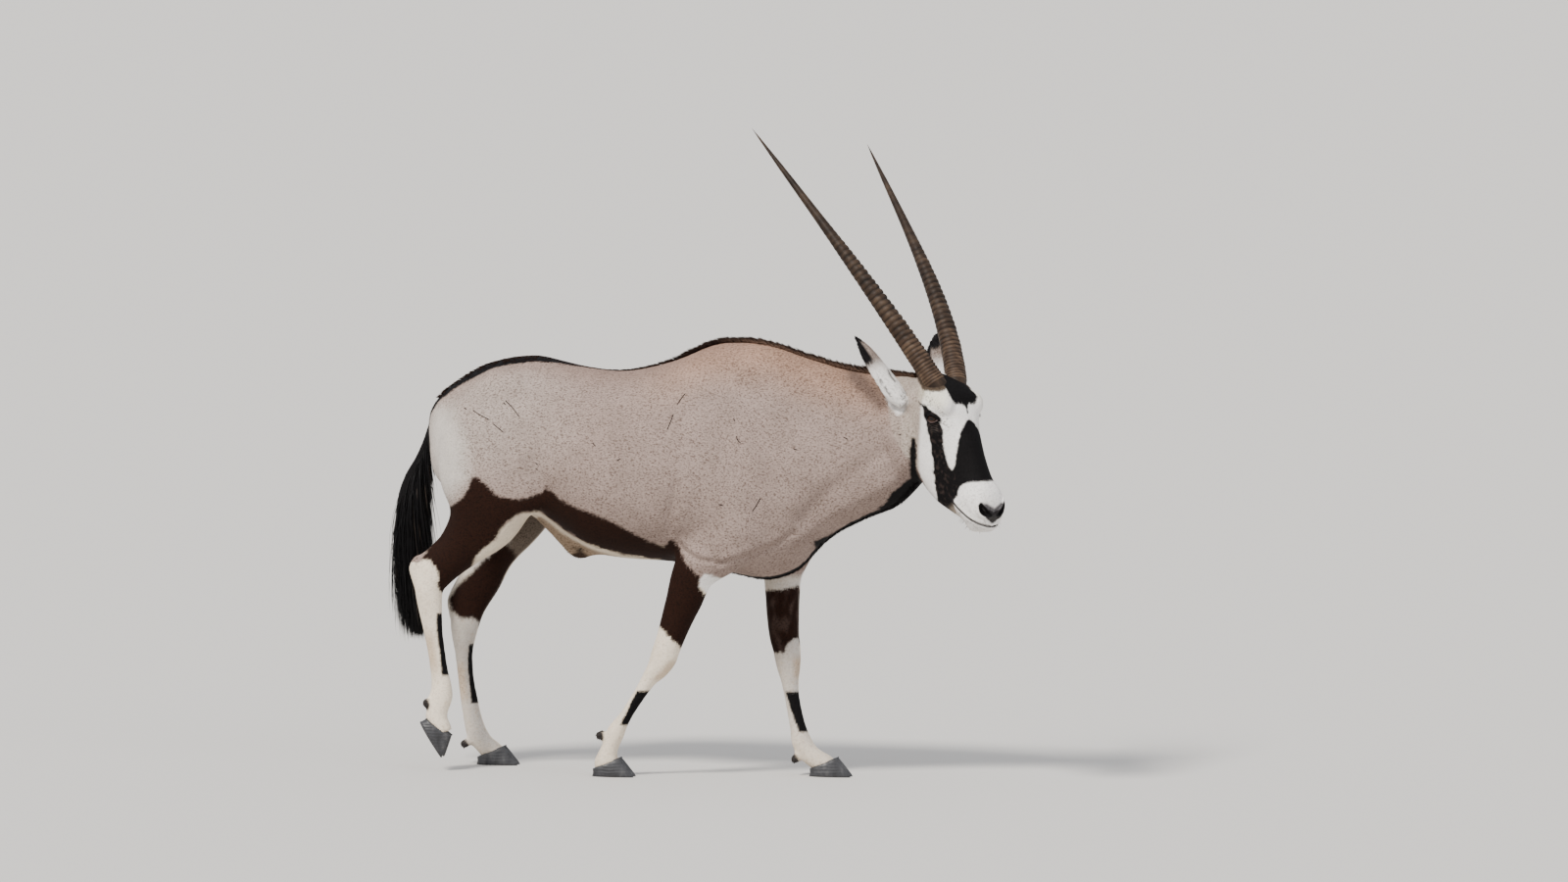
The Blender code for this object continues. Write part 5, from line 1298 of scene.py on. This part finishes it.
def make_mane(tree):
    """Short dark hair that stands along the crest of the neck and lies along the back."""
    draw = np.random.default_rng(12)
    share = draw.random(MANE_COUNT)
    x = np.where(share < 0.80, -0.03 + share / 0.80 * 0.66, -0.70 + (share - 0.80) / 0.20 * 0.70)
    middle = neck_middle(x)
    width = np.interp(x, *MANE_WIDTHS)
    y = middle + draw.normal(0, 1, MANE_COUNT).clip(-1.8, 1.8) * width
    roots, _ = on_skin(tree, np.stack([x, y, trunk_line(x, 2, 4) + 0.01], axis=1))
    clump = rough(roots * (1, 0.4, 0), 0.007, 50.0)
    stand = np.interp(x, *MANE_STANDS)
    lean = np.interp(x, (-0.1, 0.1, 0.35), (-1.0, -0.80, -0.62)) + clump * 0.30
    lean = lean + draw.normal(0, 0.12, MANE_COUNT)
    ways = units(np.stack([lean, draw.normal(0, 0.14, MANE_COUNT) + (y - middle) * 14, stand], axis=1))
    length = np.interp(x, *MANE_LENGTHS) * (1 + 0.30 * clump) * draw.uniform(0.70, 1.20, MANE_COUNT)
    flat = np.cross(np.cross(ways, np.array((0.0, 1.0, 0.0))), ways)
    edge = ramp(np.abs(y - middle) / width, 1.0, 1.7)[:, None] * ramp(x, 0.05, 0.20)[:, None]
    dark = np.array(MANE_BROWN) * draw.uniform(0.6, 1.3, (MANE_COUNT, 1))
    base = dark * (1 - edge) + np.array(WARM) * 0.75 * edge
    half = draw.uniform(0.0006, 0.0011, MANE_COUNT)
    return hair("mane", roots, units(flat), ways, (length, half, half * 0.3, 0.0), base, bends=0.22, rings=3,
                tips=dark, curl=(-0.8, 0.0, -0.5), fade=0.2)


def make_throat(tree):
    """The fringe of short black hair under the throat and the breast."""
    draw = np.random.default_rng(17)
    x = 0.08 + draw.random(THROAT_COUNT) * 0.555
    y = neck_middle(x) + draw.normal(0, 0.014, THROAT_COUNT)
    roots, facing = on_skin(tree, np.stack([x, y, trunk_line(x, 3, 4) - 0.01], axis=1))
    ways = units(lie(roots, facing) + facing * 0.30 + draw.normal(0, 0.10, (THROAT_COUNT, 3)))
    length = draw.uniform(0.008, 0.015, THROAT_COUNT)
    tint = np.array(BLACK) * draw.uniform(0.9, 2.2, (THROAT_COUNT, 1))
    return hair("throat_hair", roots, facing, ways, (length, 0.0010, 0.0003, 0.0), tint)


def make_scratches(tree):
    """Thin dark scratches and spots in the coat of the right side."""
    roots, facing, ways, lengths = [], [], [], []
    for line in SCRATCHES:
        starts = [off_view(*spot) + VIEW_BACK * 3 for spot in smooth_rows(line, 3)]
        found = [tree.ray_cast(start, -VIEW_BACK)[:2] for start in starts]
        for (place, normal), (following, _) in zip(found, found[1:]):
            way = following - place
            roots.append(place + normal * 0.0016)
            facing.append(normal)
            ways.append(way.normalized())
            lengths.append(way.length * 1.5)
    return hair("scratches", np.array(roots), np.array(facing), np.array(ways),
                (lengths, 0.0013, 0.0003, 0.0004), SCAR_DARK)


def make_tail():
    """The long black hair of the tail."""
    draw = np.random.default_rng(21)
    rows = smooth_rows(TAIL, 4)[::-1]
    share = draw.random(TAIL_COUNT) ** 0.85
    height = TUFT_TOP - (TUFT_TOP - TUFT_FOOT) * share
    x, deep, wide = (np.interp(height, rows[:, 2], rows[:, k]) for k in (0, 3, 4))
    turn = draw.random(TAIL_COUNT) * 2 * math.pi
    out = np.stack([np.cos(turn), np.sin(turn), np.zeros(TAIL_COUNT)], axis=1)
    roots = np.stack([x + out[:, 0] * deep * 0.78, out[:, 1] * wide * 0.78, height], axis=1)
    strand = draw.integers(0, STRANDS, TAIL_COUNT)
    wander = draw.normal(0, 0.07, (STRANDS, 3))[strand]
    flare = np.interp(height, (0.5, 0.70, 0.82, 0.86, 0.90), (0.10, 0.20, 0.42, 0.30, 0.05))
    flare = flare * draw.uniform(0.2, 1.15, TAIL_COUNT)
    back = np.where(out[:, 0] > 0, 0.40, 1.0)
    ways = np.stack([out[:, 0] * flare * back - 0.02, out[:, 1] * flare * 0.6, -np.ones(TAIL_COUNT)], axis=1)
    ways = units(ways + wander)
    curl = np.stack([0.16 - out[:, 0] * back * flare * 0.9, -out[:, 1] * flare * 0.9,
                     np.full(TAIL_COUNT, -0.1)], axis=1) - wander * 0.8
    length = np.minimum(draw.uniform(0.12, 0.26, TAIL_COUNT),
                        (height - 0.355) * draw.uniform(0.80, 1.06, TAIL_COUNT))
    length = np.where(height > 0.83, np.minimum(length, 0.05 + (TUFT_TOP - height) * 1.6), length)
    half = draw.uniform(0.0009, 0.0021, TAIL_COUNT)
    tint = np.array(TAIL_BLACK) * draw.uniform(0.7, 1.8, (TAIL_COUNT, 1))
    tint[draw.random(TAIL_COUNT) < 0.03] = TAIL_PALE
    charts = np.stack([0.02 + 0.46 * (turn / (2 * math.pi)),
                       0.03 + 0.05 * (height - TUFT_FOOT) / (TUFT_TOP - TUFT_FOOT)], axis=1)
    return hair("tail_tuft", roots, out, ways, (length, half, 0.0004, 0.0), tint, charts, bends=0.55, rings=5,
                curl=curl, tips=tint * 1.2)


def ring_phase(distance):
    """How many rings lie between the root of a horn and a place on it; they widen up the horn."""
    near, far = RING_GAPS
    slope = (far - near) / RING_WIDEN
    close = np.log(1 + slope * min(max(distance, 0.0), RING_WIDEN) / near) / slope
    return close + max(distance - RING_WIDEN, 0.0) / far


def horn_mesh(side):
    """A horn with rings that fade to a smooth tip, drawn darker in the grooves and lighter on the ridges as
    painted shade and painted highlight.
    """
    turn = np.linspace(0, 2 * math.pi, 36, endpoint=False)
    wobble = np.random.default_rng(40 + side).normal(0, 0.16, 200)
    rings, tints = [], []
    lower = -0.03 + (RING_SHARE + 0.09) * np.linspace(0, 1, 470) ** 1.25
    for share in np.concatenate([lower, np.linspace(RING_SHARE + 0.07, 1.0, 50)]):
        centre, along = (np.array(vector) for vector in horn_place(share, side))
        radius = np.interp(share, *zip(*HORN_RADII))
        phase = ring_phase(share * HORN_LENGTHS[side])
        shift = wobble[int(phase) % 200]
        wave = np.abs(np.sin(math.pi * (phase % 1 + 0.05 * np.sin(turn * 2 + shift * 9)))) ** 0.7
        fade = 1 - ramp(share, RING_SHARE - 0.22, RING_SHARE + 0.04)
        close = np.interp(share, (0.0, 0.10, 0.25), (0.45, 0.75, 1.0))
        rise = RING_RISE * 1.45 * (1 + shift) * fade * close * (1 - 0.45 * max(share, 0) / RING_SHARE)
        front = 1.0 + 0.5 * np.cos(turn + 0.6)
        around = radius - 0.0006 + rise * (wave * 1.5 - 0.75) * front
        across = np.array(Vector(along).cross(Vector((0, 0, 1))).normalized())
        rings.append(centre + np.outer(np.cos(turn) * around, across)
                     + np.outer(np.sin(turn) * around, np.cross(along, across)))
        # Painted shade in the grooves and painted highlight on the ridges, fading with the rings.
        painted_light = 1 + fade * (0.30 + 1.05 * wave - 1)
        tints.append(painted_light * np.interp(share, *HORN_TINTS))
    mesh = new_mesh(f"horn_{side}", *placed(closed_loft(rings), HEAD))
    coloured(mesh, np.concatenate(tints)[:, None] * (1.0, 0.92, 0.86))
    return mesh


# Where the black of each ear's tip begins and is full, as shares of its length.
EAR_CAP = {-1: (0.84, 0.92), 1: (0.68, 0.76)}
EAR_TAN = (0.25, 0.19, 0.16)


def ear_tint(share, angle, reach, rear_edge, outer, cap_from):
    """The ear's colour at a share of its length and an angle round its cup, which wraps to `reach`."""
    edge = abs(angle) / reach
    rear = ramp(angle * rear_edge / reach, 0.42, 0.62) * ramp(share, 0.52, 0.60)
    cap = max(ramp(share + 0.03 * math.sin(angle * 5), *cap_from), rear)
    if outer:
        layers = ((EAR_TAN, ramp(share, 0.38, 0.62) * (1 - 0.25 * edge)),)
        tint = np.array(WHITE) * 0.92
    else:
        layers = ((np.array(PALE) * 0.9, (1 - ramp(edge, 0.35, 0.75)) * (1 - ramp(share, 0.55, 0.85))),
                  (PALE, 1 - ramp(share, 0.15, 0.35)), (EAR_TAN, ramp(share, 0.45, 0.65) * 0.6))
        tint = np.array(BLACK) * 2
    for other, much in (*layers, (np.array(BLACK) * 1.5, cap)):
        tint = tint + (np.array(other) - tint) * much
    return tint


def ear_piece(side):
    """The ear as a fine cup, and its colours."""
    along = mirrored(EAR_AXIS, side)
    face = mirrored(EAR_OPEN, side)
    face = (face - along * face.dot(along)).normalized()
    across = along.cross(face)
    root = mirrored(EAR_ROOT, side)
    rings, colours = [], []
    curves = [smooth_rows(rows, 6) for rows in (EAR_WIDTHS, EAR_WRAPS, EAR_THICKS)]
    rear_edge = 1 if (HEAD.to_3x3() @ across).x < 0 else -1
    for share in np.linspace(-0.10, 1.0, 60):
        half, reach, thick = (float(np.interp(share, curve[:, 0], curve[:, 1])) for curve in curves)
        radius = half / math.sin(min(reach, math.pi / 2))
        middle = root + along * EAR_LENGTH * share - face * EAR_BOW * math.sin(math.pi * share)
        angles = np.linspace(-reach, reach, 28)
        ring = []
        for outer, turns, size in ((True, angles, radius - 0.0004),
                                   (False, angles[::-1], radius - max(thick, 0.0012))):
            for a in turns:
                ring.append(middle + face * (half * 0.7 - math.cos(a) * size) + across * math.sin(a) * size)
                colours.append(ear_tint(share, a, reach, rear_edge, outer, EAR_CAP[side]))
        rings.append(np.array(ring))
    points, faces = closed_loft(rings)
    colours = np.array(colours)
    spots = on_view(moved(points * (1, -side, 1), HEAD))
    for line in EAR_MARKS:
        colours = mixed(colours, BLACK, ramp(-gap_to_line(spots, line), -1.3, -0.6) * 0.85)
    return new_mesh(f"ear_{side}", *placed((points, faces), HEAD)), colours


def node_material(name, roughness, gloss=0.5, colour=(0.8, 0.8, 0.8)):
    """A Principled material, its node tree and its shader."""
    made = bpy.data.materials.new(name)
    made.use_nodes = True
    tree = made.node_tree
    shader = tree.nodes["Principled BSDF"]
    shader.inputs["Roughness"].default_value = roughness
    shader.inputs["Metallic"].default_value = 0.0
    shader.inputs["Specular IOR Level"].default_value = gloss
    shader.inputs["Base Color"].default_value = (*colour, 1.0)
    return made, tree, shader


def stored_colour(tree):
    """The colours stored on the mesh."""
    source = tree.nodes.new("ShaderNodeAttribute")
    source.attribute_name = "Coat"
    return source.outputs


def noise_node(tree, scale, detail=3.0, stretch=(1.0, 1.0, 1.0), roughness=0.6):
    """Noise on the object's own coordinates."""
    place = tree.nodes.new("ShaderNodeTexCoord")
    scaled = tree.nodes.new("ShaderNodeMapping")
    scaled.inputs["Scale"].default_value = stretch
    made = tree.nodes.new("ShaderNodeTexNoise")
    made.inputs["Scale"].default_value = scale
    made.inputs["Detail"].default_value = detail
    made.inputs["Roughness"].default_value = roughness
    tree.links.new(place.outputs["Object"], scaled.inputs["Vector"])
    tree.links.new(scaled.outputs["Vector"], made.inputs["Vector"])
    return made.outputs["Fac"]


def ramp_node(tree, value, stops):
    """A colour ramp over the value."""
    made = tree.nodes.new("ShaderNodeValToRGB")
    elements = made.color_ramp.elements
    while len(elements) < len(stops):
        elements.new(0.5)
    for element, (place, colour) in zip(elements, stops):
        element.position = place
        element.color = (*colour, 1.0)
    tree.links.new(value, made.inputs["Fac"])
    return made.outputs["Color"]


def multiplied(tree, first, second, share=None):
    """The product of two colours, or as much of it as the share says."""
    made = tree.nodes.new("ShaderNodeMix")
    made.data_type = "RGBA"
    made.blend_type = "MULTIPLY"
    made.inputs["Factor"].default_value = 1.0
    if share is not None:
        tree.links.new(share, made.inputs["Factor"])
    tree.links.new(first, made.inputs["A"])
    tree.links.new(second, made.inputs["B"])
    return made.outputs["Result"]


def bump(tree, shader, height, strength, distance):
    """Fine relief on a material."""
    made = tree.nodes.new("ShaderNodeBump")
    made.inputs["Strength"].default_value = strength
    made.inputs["Distance"].default_value = distance
    tree.links.new(height, made.inputs["Height"])
    tree.links.new(made.outputs["Normal"], shader.inputs["Normal"])


def coat_material(name, roughness, gloss, relief=False):
    """Hide or hair: the stored colour with fine dark flecks and soft broad shades."""
    made, tree, shader = node_material(name, roughness, gloss)
    stored = stored_colour(tree)
    fleck = ramp_node(tree, noise_node(tree, 350.0, 1.5, (0.50, 1.0, 0.70)),
                      ((0.34, (0.46, 0.42, 0.40)), (0.46, (0.90, 0.89, 0.88)), (0.68, (1.12, 1.12, 1.12))))
    shade = ramp_node(tree, noise_node(tree, 14.0, 4.0),
                      ((0.30, (0.88, 0.87, 0.86)), (0.70, (1.06, 1.06, 1.06))))
    colour = multiplied(tree, multiplied(tree, stored["Color"], fleck, stored["Alpha"]), shade)
    tree.links.new(colour, shader.inputs["Base Color"])
    if relief:
        bump(tree, shader, noise_node(tree, 260.0, 3.0, (0.35, 1.0, 1.0)), 0.35, 0.0008)
    return made


def horn_material():
    """Grained horn, lighter on the ridges of the rings and darker in their grooves as its stored colours say:
    painted highlight and painted shade.
    """
    made, tree, shader = node_material("horn", 0.55, 0.16)
    grain = ramp_node(tree, noise_node(tree, 60.0, 5.0, (0.25, 1.0, 0.25), 0.65),
                      ((0.28, (0.014, 0.009, 0.006)), (0.50, (0.052, 0.034, 0.023)),
                       (0.74, (0.130, 0.090, 0.060))))
    tree.links.new(multiplied(tree, grain, stored_colour(tree)["Color"]), shader.inputs["Base Color"])
    bump(tree, shader, noise_node(tree, 420.0, 4.0, (0.3, 1.0, 0.3)), 0.5, 0.0006)
    return made


def hoof_material():
    """Grey streaked hoof with fine growth rings."""
    made, tree, shader = node_material("hoof", 0.48)
    grain = ramp_node(tree, noise_node(tree, 55.0, 5.0, (1.0, 1.0, 0.5)),
                      ((0.30, (0.014, 0.014, 0.016)), (0.55, (0.034, 0.034, 0.038)),
                       (0.78, (0.080, 0.078, 0.078))))
    tree.links.new(grain, shader.inputs["Base Color"])
    wave = tree.nodes.new("ShaderNodeTexWave")
    wave.bands_direction = "Z"
    wave.inputs["Scale"].default_value = 38.0
    wave.inputs["Distortion"].default_value = 2.5
    place = tree.nodes.new("ShaderNodeTexCoord")
    tree.links.new(place.outputs["Object"], wave.inputs["Vector"])
    bump(tree, shader, wave.outputs["Fac"], 0.5, 0.0008)
    return made


def eye_material():
    """The wet eye in its stored colours."""
    made, tree, shader = node_material("eye", 0.10, 0.22)
    tree.links.new(stored_colour(tree)["Color"], shader.inputs["Base Color"])
    shader.inputs["Coat Weight"].default_value = 0.10
    shader.inputs["Coat Roughness"].default_value = 0.03
    return made


def dressed(name, mesh, look, nodes):
    """Puts a piece made in the animal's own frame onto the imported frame."""
    mesh.transform(Matrix.Translation(SHIFT))
    mesh.shade_smooth()
    obj = bpy.data.objects.new(name, mesh)
    bpy.context.scene.collection.objects.link(obj)
    declared(obj, look, nodes)


def declared(obj, look, nodes=()):
    """Gives a piece its material, its body and the nodes that it replaces."""
    obj.data.materials.clear()
    obj.data.materials.append(look)
    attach(obj, "root")
    if nodes:
        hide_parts(*nodes)


def eyeball(side):
    """A dark eye with a brown iris and a level pupil, in the animal's frame."""
    way, along, across = (np.array(axis) for axis in eye_axes(side))
    mesh = bpy.data.meshes.new(f"eye_{side}")
    shape = bmesh.new()
    bmesh.ops.create_uvsphere(shape, u_segments=72, v_segments=48, radius=EYE_RADIUS * 0.985)
    shape.to_mesh(mesh)
    shape.free()
    points, _, _ = arrays(mesh)
    unit = points / (EYE_RADIUS * 0.985)
    a, b, w = unit @ along, unit @ across, unit @ way
    bulge = 1 + 0.055 * ramp(w, 0.80, 0.97)
    out = np.hypot(a, b)
    pupil = 1 - ramp(np.hypot(a / 1.9, b), 0.19, 0.23)
    pupil[w < 0] = 0
    colour = layered(np.tile(np.array(IRIS_BROWN), (len(points), 1)), (
        (IRIS_EDGE, ramp(out, 0.42, 0.60)),
        (EYE_RIM, ramp(out, 0.62, 0.68) + (w < 0)),
        (PUPIL_BLACK, pupil)))
    centre = np.array(mirrored(EYE_CENTRE, side))
    set_points(mesh, moved(points * bulge[:, None] + centre, HEAD))
    coloured(mesh, colour)
    return mesh


def fine_claw(foot, side):
    """One claw of a foot, smooth and worn to a blunt toe."""
    turn = np.linspace(0, 2 * math.pi, 40, endpoint=False)
    rings = []
    for share in (0.0, 0.03, 0.12, 0.35, 0.6, 0.85, 1.0, 1.10):
        heel, toe = np.interp(share, (0, 1), CLAW_HEEL), np.interp(share, (0, 1), CLAW_TOE)
        half = np.interp(share, (0, 0.12, 1), CLAW_HALF) * (1.0 if share < 1.05 else 0.8)
        round_off = {0.0: 0.94, 0.03: 0.985}.get(share, 1.0)
        hollow = 1 - 0.05 * math.sin(math.pi * min(share, 1.0))
        x = (heel + toe) / 2 + (toe - heel) / 2 * np.cos(turn) * round_off * hollow
        pinch = 1 - 0.30 * np.cos(turn) - 0.12 * np.cos(turn) ** 2
        y = side * (CLEFT / 2 + half) + half * np.sin(turn) * pinch * round_off
        z = share * (CORONET_HEIGHT + CORONET_SLOPE * x)
        rings.append(np.stack([x, y, z], axis=1))
    return new_mesh(f"claw_{foot}_{side}", *placed(closed_loft(rings), FEET[foot]))


def ear_hair(mesh, colours, side):
    """Short hair over the ear, longer towards its root and shorter near its tip."""
    points, normals, triangles = arrays(mesh)
    along = np.array(HEAD)[:3, :3] @ np.array(mirrored(EAR_AXIS, side))
    roots, facing, tint = scattered(points, triangles, np.ones(len(points)), EAR_HAIR_COUNT, 60 + side,
                                    [normals, colours])
    facing = units(facing)
    draw = np.random.default_rng(70 + side)
    ways = along - facing * (facing @ along)[:, None] + draw.normal(0, 0.12, (len(roots), 3))
    axis = (roots - roots.mean(axis=0)) @ along
    length = np.where(axis < -0.05, 0.016, 0.010) * draw.uniform(0.7, 1.2, len(roots))
    length = np.minimum(length, np.maximum((axis.max() - axis) * 0.9, 0.004))
    u = 0.51 + 0.46 * (np.argsort(np.argsort(axis)) / len(axis))
    charts = np.stack([u, np.full(len(u), 0.485) + 0.01 * draw.random(len(u))], axis=1)
    tint = np.clip(tint * (1 + draw.normal(0, 0.06, len(roots)))[:, None], 0.003, 0.9)
    return hair(f"ear_hair_{'left' if side > 0 else 'right'}", roots, facing, units(ways),
                (length, 0.0011, 0.0011 * 0.2, 0.0012), tint, charts)


def lash_hair(tree):
    """Lashes over the eyes and a few whiskers round the mouth."""
    roots, ways, lengths = [], [], []
    draw = np.random.default_rng(33)
    turn = HEAD.to_3x3()
    for side in (-1, 1):
        way, along, across = eye_axes(side)
        up = across * (1 if across.z > 0 else -1)
        centre = mirrored(EYE_CENTRE, side)
        for i in range(LASHES):
            t = -0.95 + 1.9 * (i + draw.random()) / LASHES
            lift = EYE_OPENING[1] * (1 - abs(t) ** 1.6) ** (1 / 1.6)
            spot = centre + along * (EYE_OPENING[0] * t) + up * (lift + 0.001)
            out = math.sqrt(max((EYE_RADIUS + 0.003) ** 2 - (spot - centre).length_squared, 0))
            roots.append(HEAD @ (spot + way * out))
            ways.append(turn @ (way + up * 0.25 + along * t * 0.35 - Vector((0, 0, 0.25))))
            lengths.append(0.011 * draw.uniform(0.8, 1.1))
        for _ in range(WHISKERS):
            place = draw.uniform(0.245, 0.325), side * draw.uniform(0.010, 0.055), draw.uniform(-0.11, -0.03)
            spot, normal, _, _ = tree.find_nearest(HEAD @ Vector(place))
            roots.append(spot)
            ways.append(normal + turn @ Vector((0.3, 0, -0.3)))
            lengths.append(0.012 * draw.uniform(0.6, 1.2))
    ways = np.array([way.normalized() for way in ways])
    facing = units(np.cross(np.cross(ways, np.array(HEAD)[:3, 0]), ways))
    return hair("lashes", np.array(roots), facing, ways, (lengths, 0.00035, 0.00035 * 0.5, 0.0),
                np.array(BLACK) * 1.5, rings=3)


def make_room():
    """A plain pale floor, a soft key light and a pale surround."""
    scene = bpy.context.scene
    floor = bpy.data.meshes.new("floor")
    size = 400.0
    corners = [(-size, -size, 0), (size, -size, 0), (size, size, 0), (-size, size, 0)]
    floor.from_pydata(corners, [], [(0, 1, 2, 3)])
    floor.materials.append(node_material("floor", 0.9, colour=(0.62, 0.60, 0.57))[0])
    obj = bpy.data.objects.new("floor", floor)
    scene.collection.objects.link(obj)
    world = bpy.data.worlds.new("room")
    world.use_nodes = True
    background = world.node_tree.nodes["Background"]
    background.inputs["Color"].default_value = (0.93, 0.95, 1.0, 1.0)
    background.inputs["Strength"].default_value = 0.88
    scene.world = world
    for name, way, strength, angle, colour in (
            ("key", (0.30, 0.62, -0.72), 4.5, 12.0, (1.0, 0.965, 0.91)),
            ("fill", (-0.75, 0.35, -0.35), 0.5, 40.0, (0.92, 0.95, 1.0))):
        light = bpy.data.lights.new(name, "SUN")
        light.energy = strength
        light.angle = math.radians(angle)
        light.color = colour
        lamp = bpy.data.objects.new(name, light)
        lamp.rotation_euler = Vector(way).to_track_quat("-Z", "Y").to_euler()
        scene.collection.objects.link(lamp)


def main():
    """Builds the room and every piece, and declares each."""
    make_camera()
    make_room()
    hide, coat = coat_material("hide", 0.78, 0.12, relief=True), coat_material("coat", 0.8, 0.08)
    long_hair, mane_look = coat_material("long_hair", 0.45, 0.16), coat_material("mane", 0.6, 0.12)
    horny, hoof, wet = horn_material(), hoof_material(), eye_material()

    skin = make_skin()
    points, normals, triangles = arrays(skin)
    tree = BVHTree.FromPolygons([Vector(p) for p in points], triangles.tolist())
    coloured(skin, paint(points, normals))
    pieces = [*make_coat(skin), lash_hair(tree), make_throat(tree), make_scratches(tree)]
    mane, tail = make_mane(tree), make_tail()
    dressed("skin", skin, hide,
            ("torso", "neck", "head", "leg_fore_right", "leg_fore_left", "leg_hind_right", "leg_hind_left"))
    for side_name, side in SIDES.items():
        ear, colours = ear_piece(side)
        coloured(ear, colours)
        pieces.append(ear_hair(ear, colours, side))
        dressed(f"ear_{side_name}_skin", ear, hide, (f"ear_{side_name}",))
        dressed(f"horn_{side_name}_rings", horn_mesh(side), horny, (f"horn_{side_name}",))
        dressed(f"eye_{side_name}_ball", eyeball(side), wet, (f"eye_{side_name}",))
        for foot in FEET:
            claw = f"claw_{foot}_{side_name}"
            dressed(f"{claw}_wall", fine_claw(foot, side), hoof, (claw,))
    for piece in pieces:
        declared(piece, coat)
    declared(mane, mane_look)
    declared(tail, long_hair, ("tail",))


def eye_place():
    """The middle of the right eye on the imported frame."""
    low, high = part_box("eye_right")
    return (Vector(low) + Vector(high)) / 2


SHIFT = eye_place() - HEAD @ mirrored(EYE_CENTRE, -1)
main()
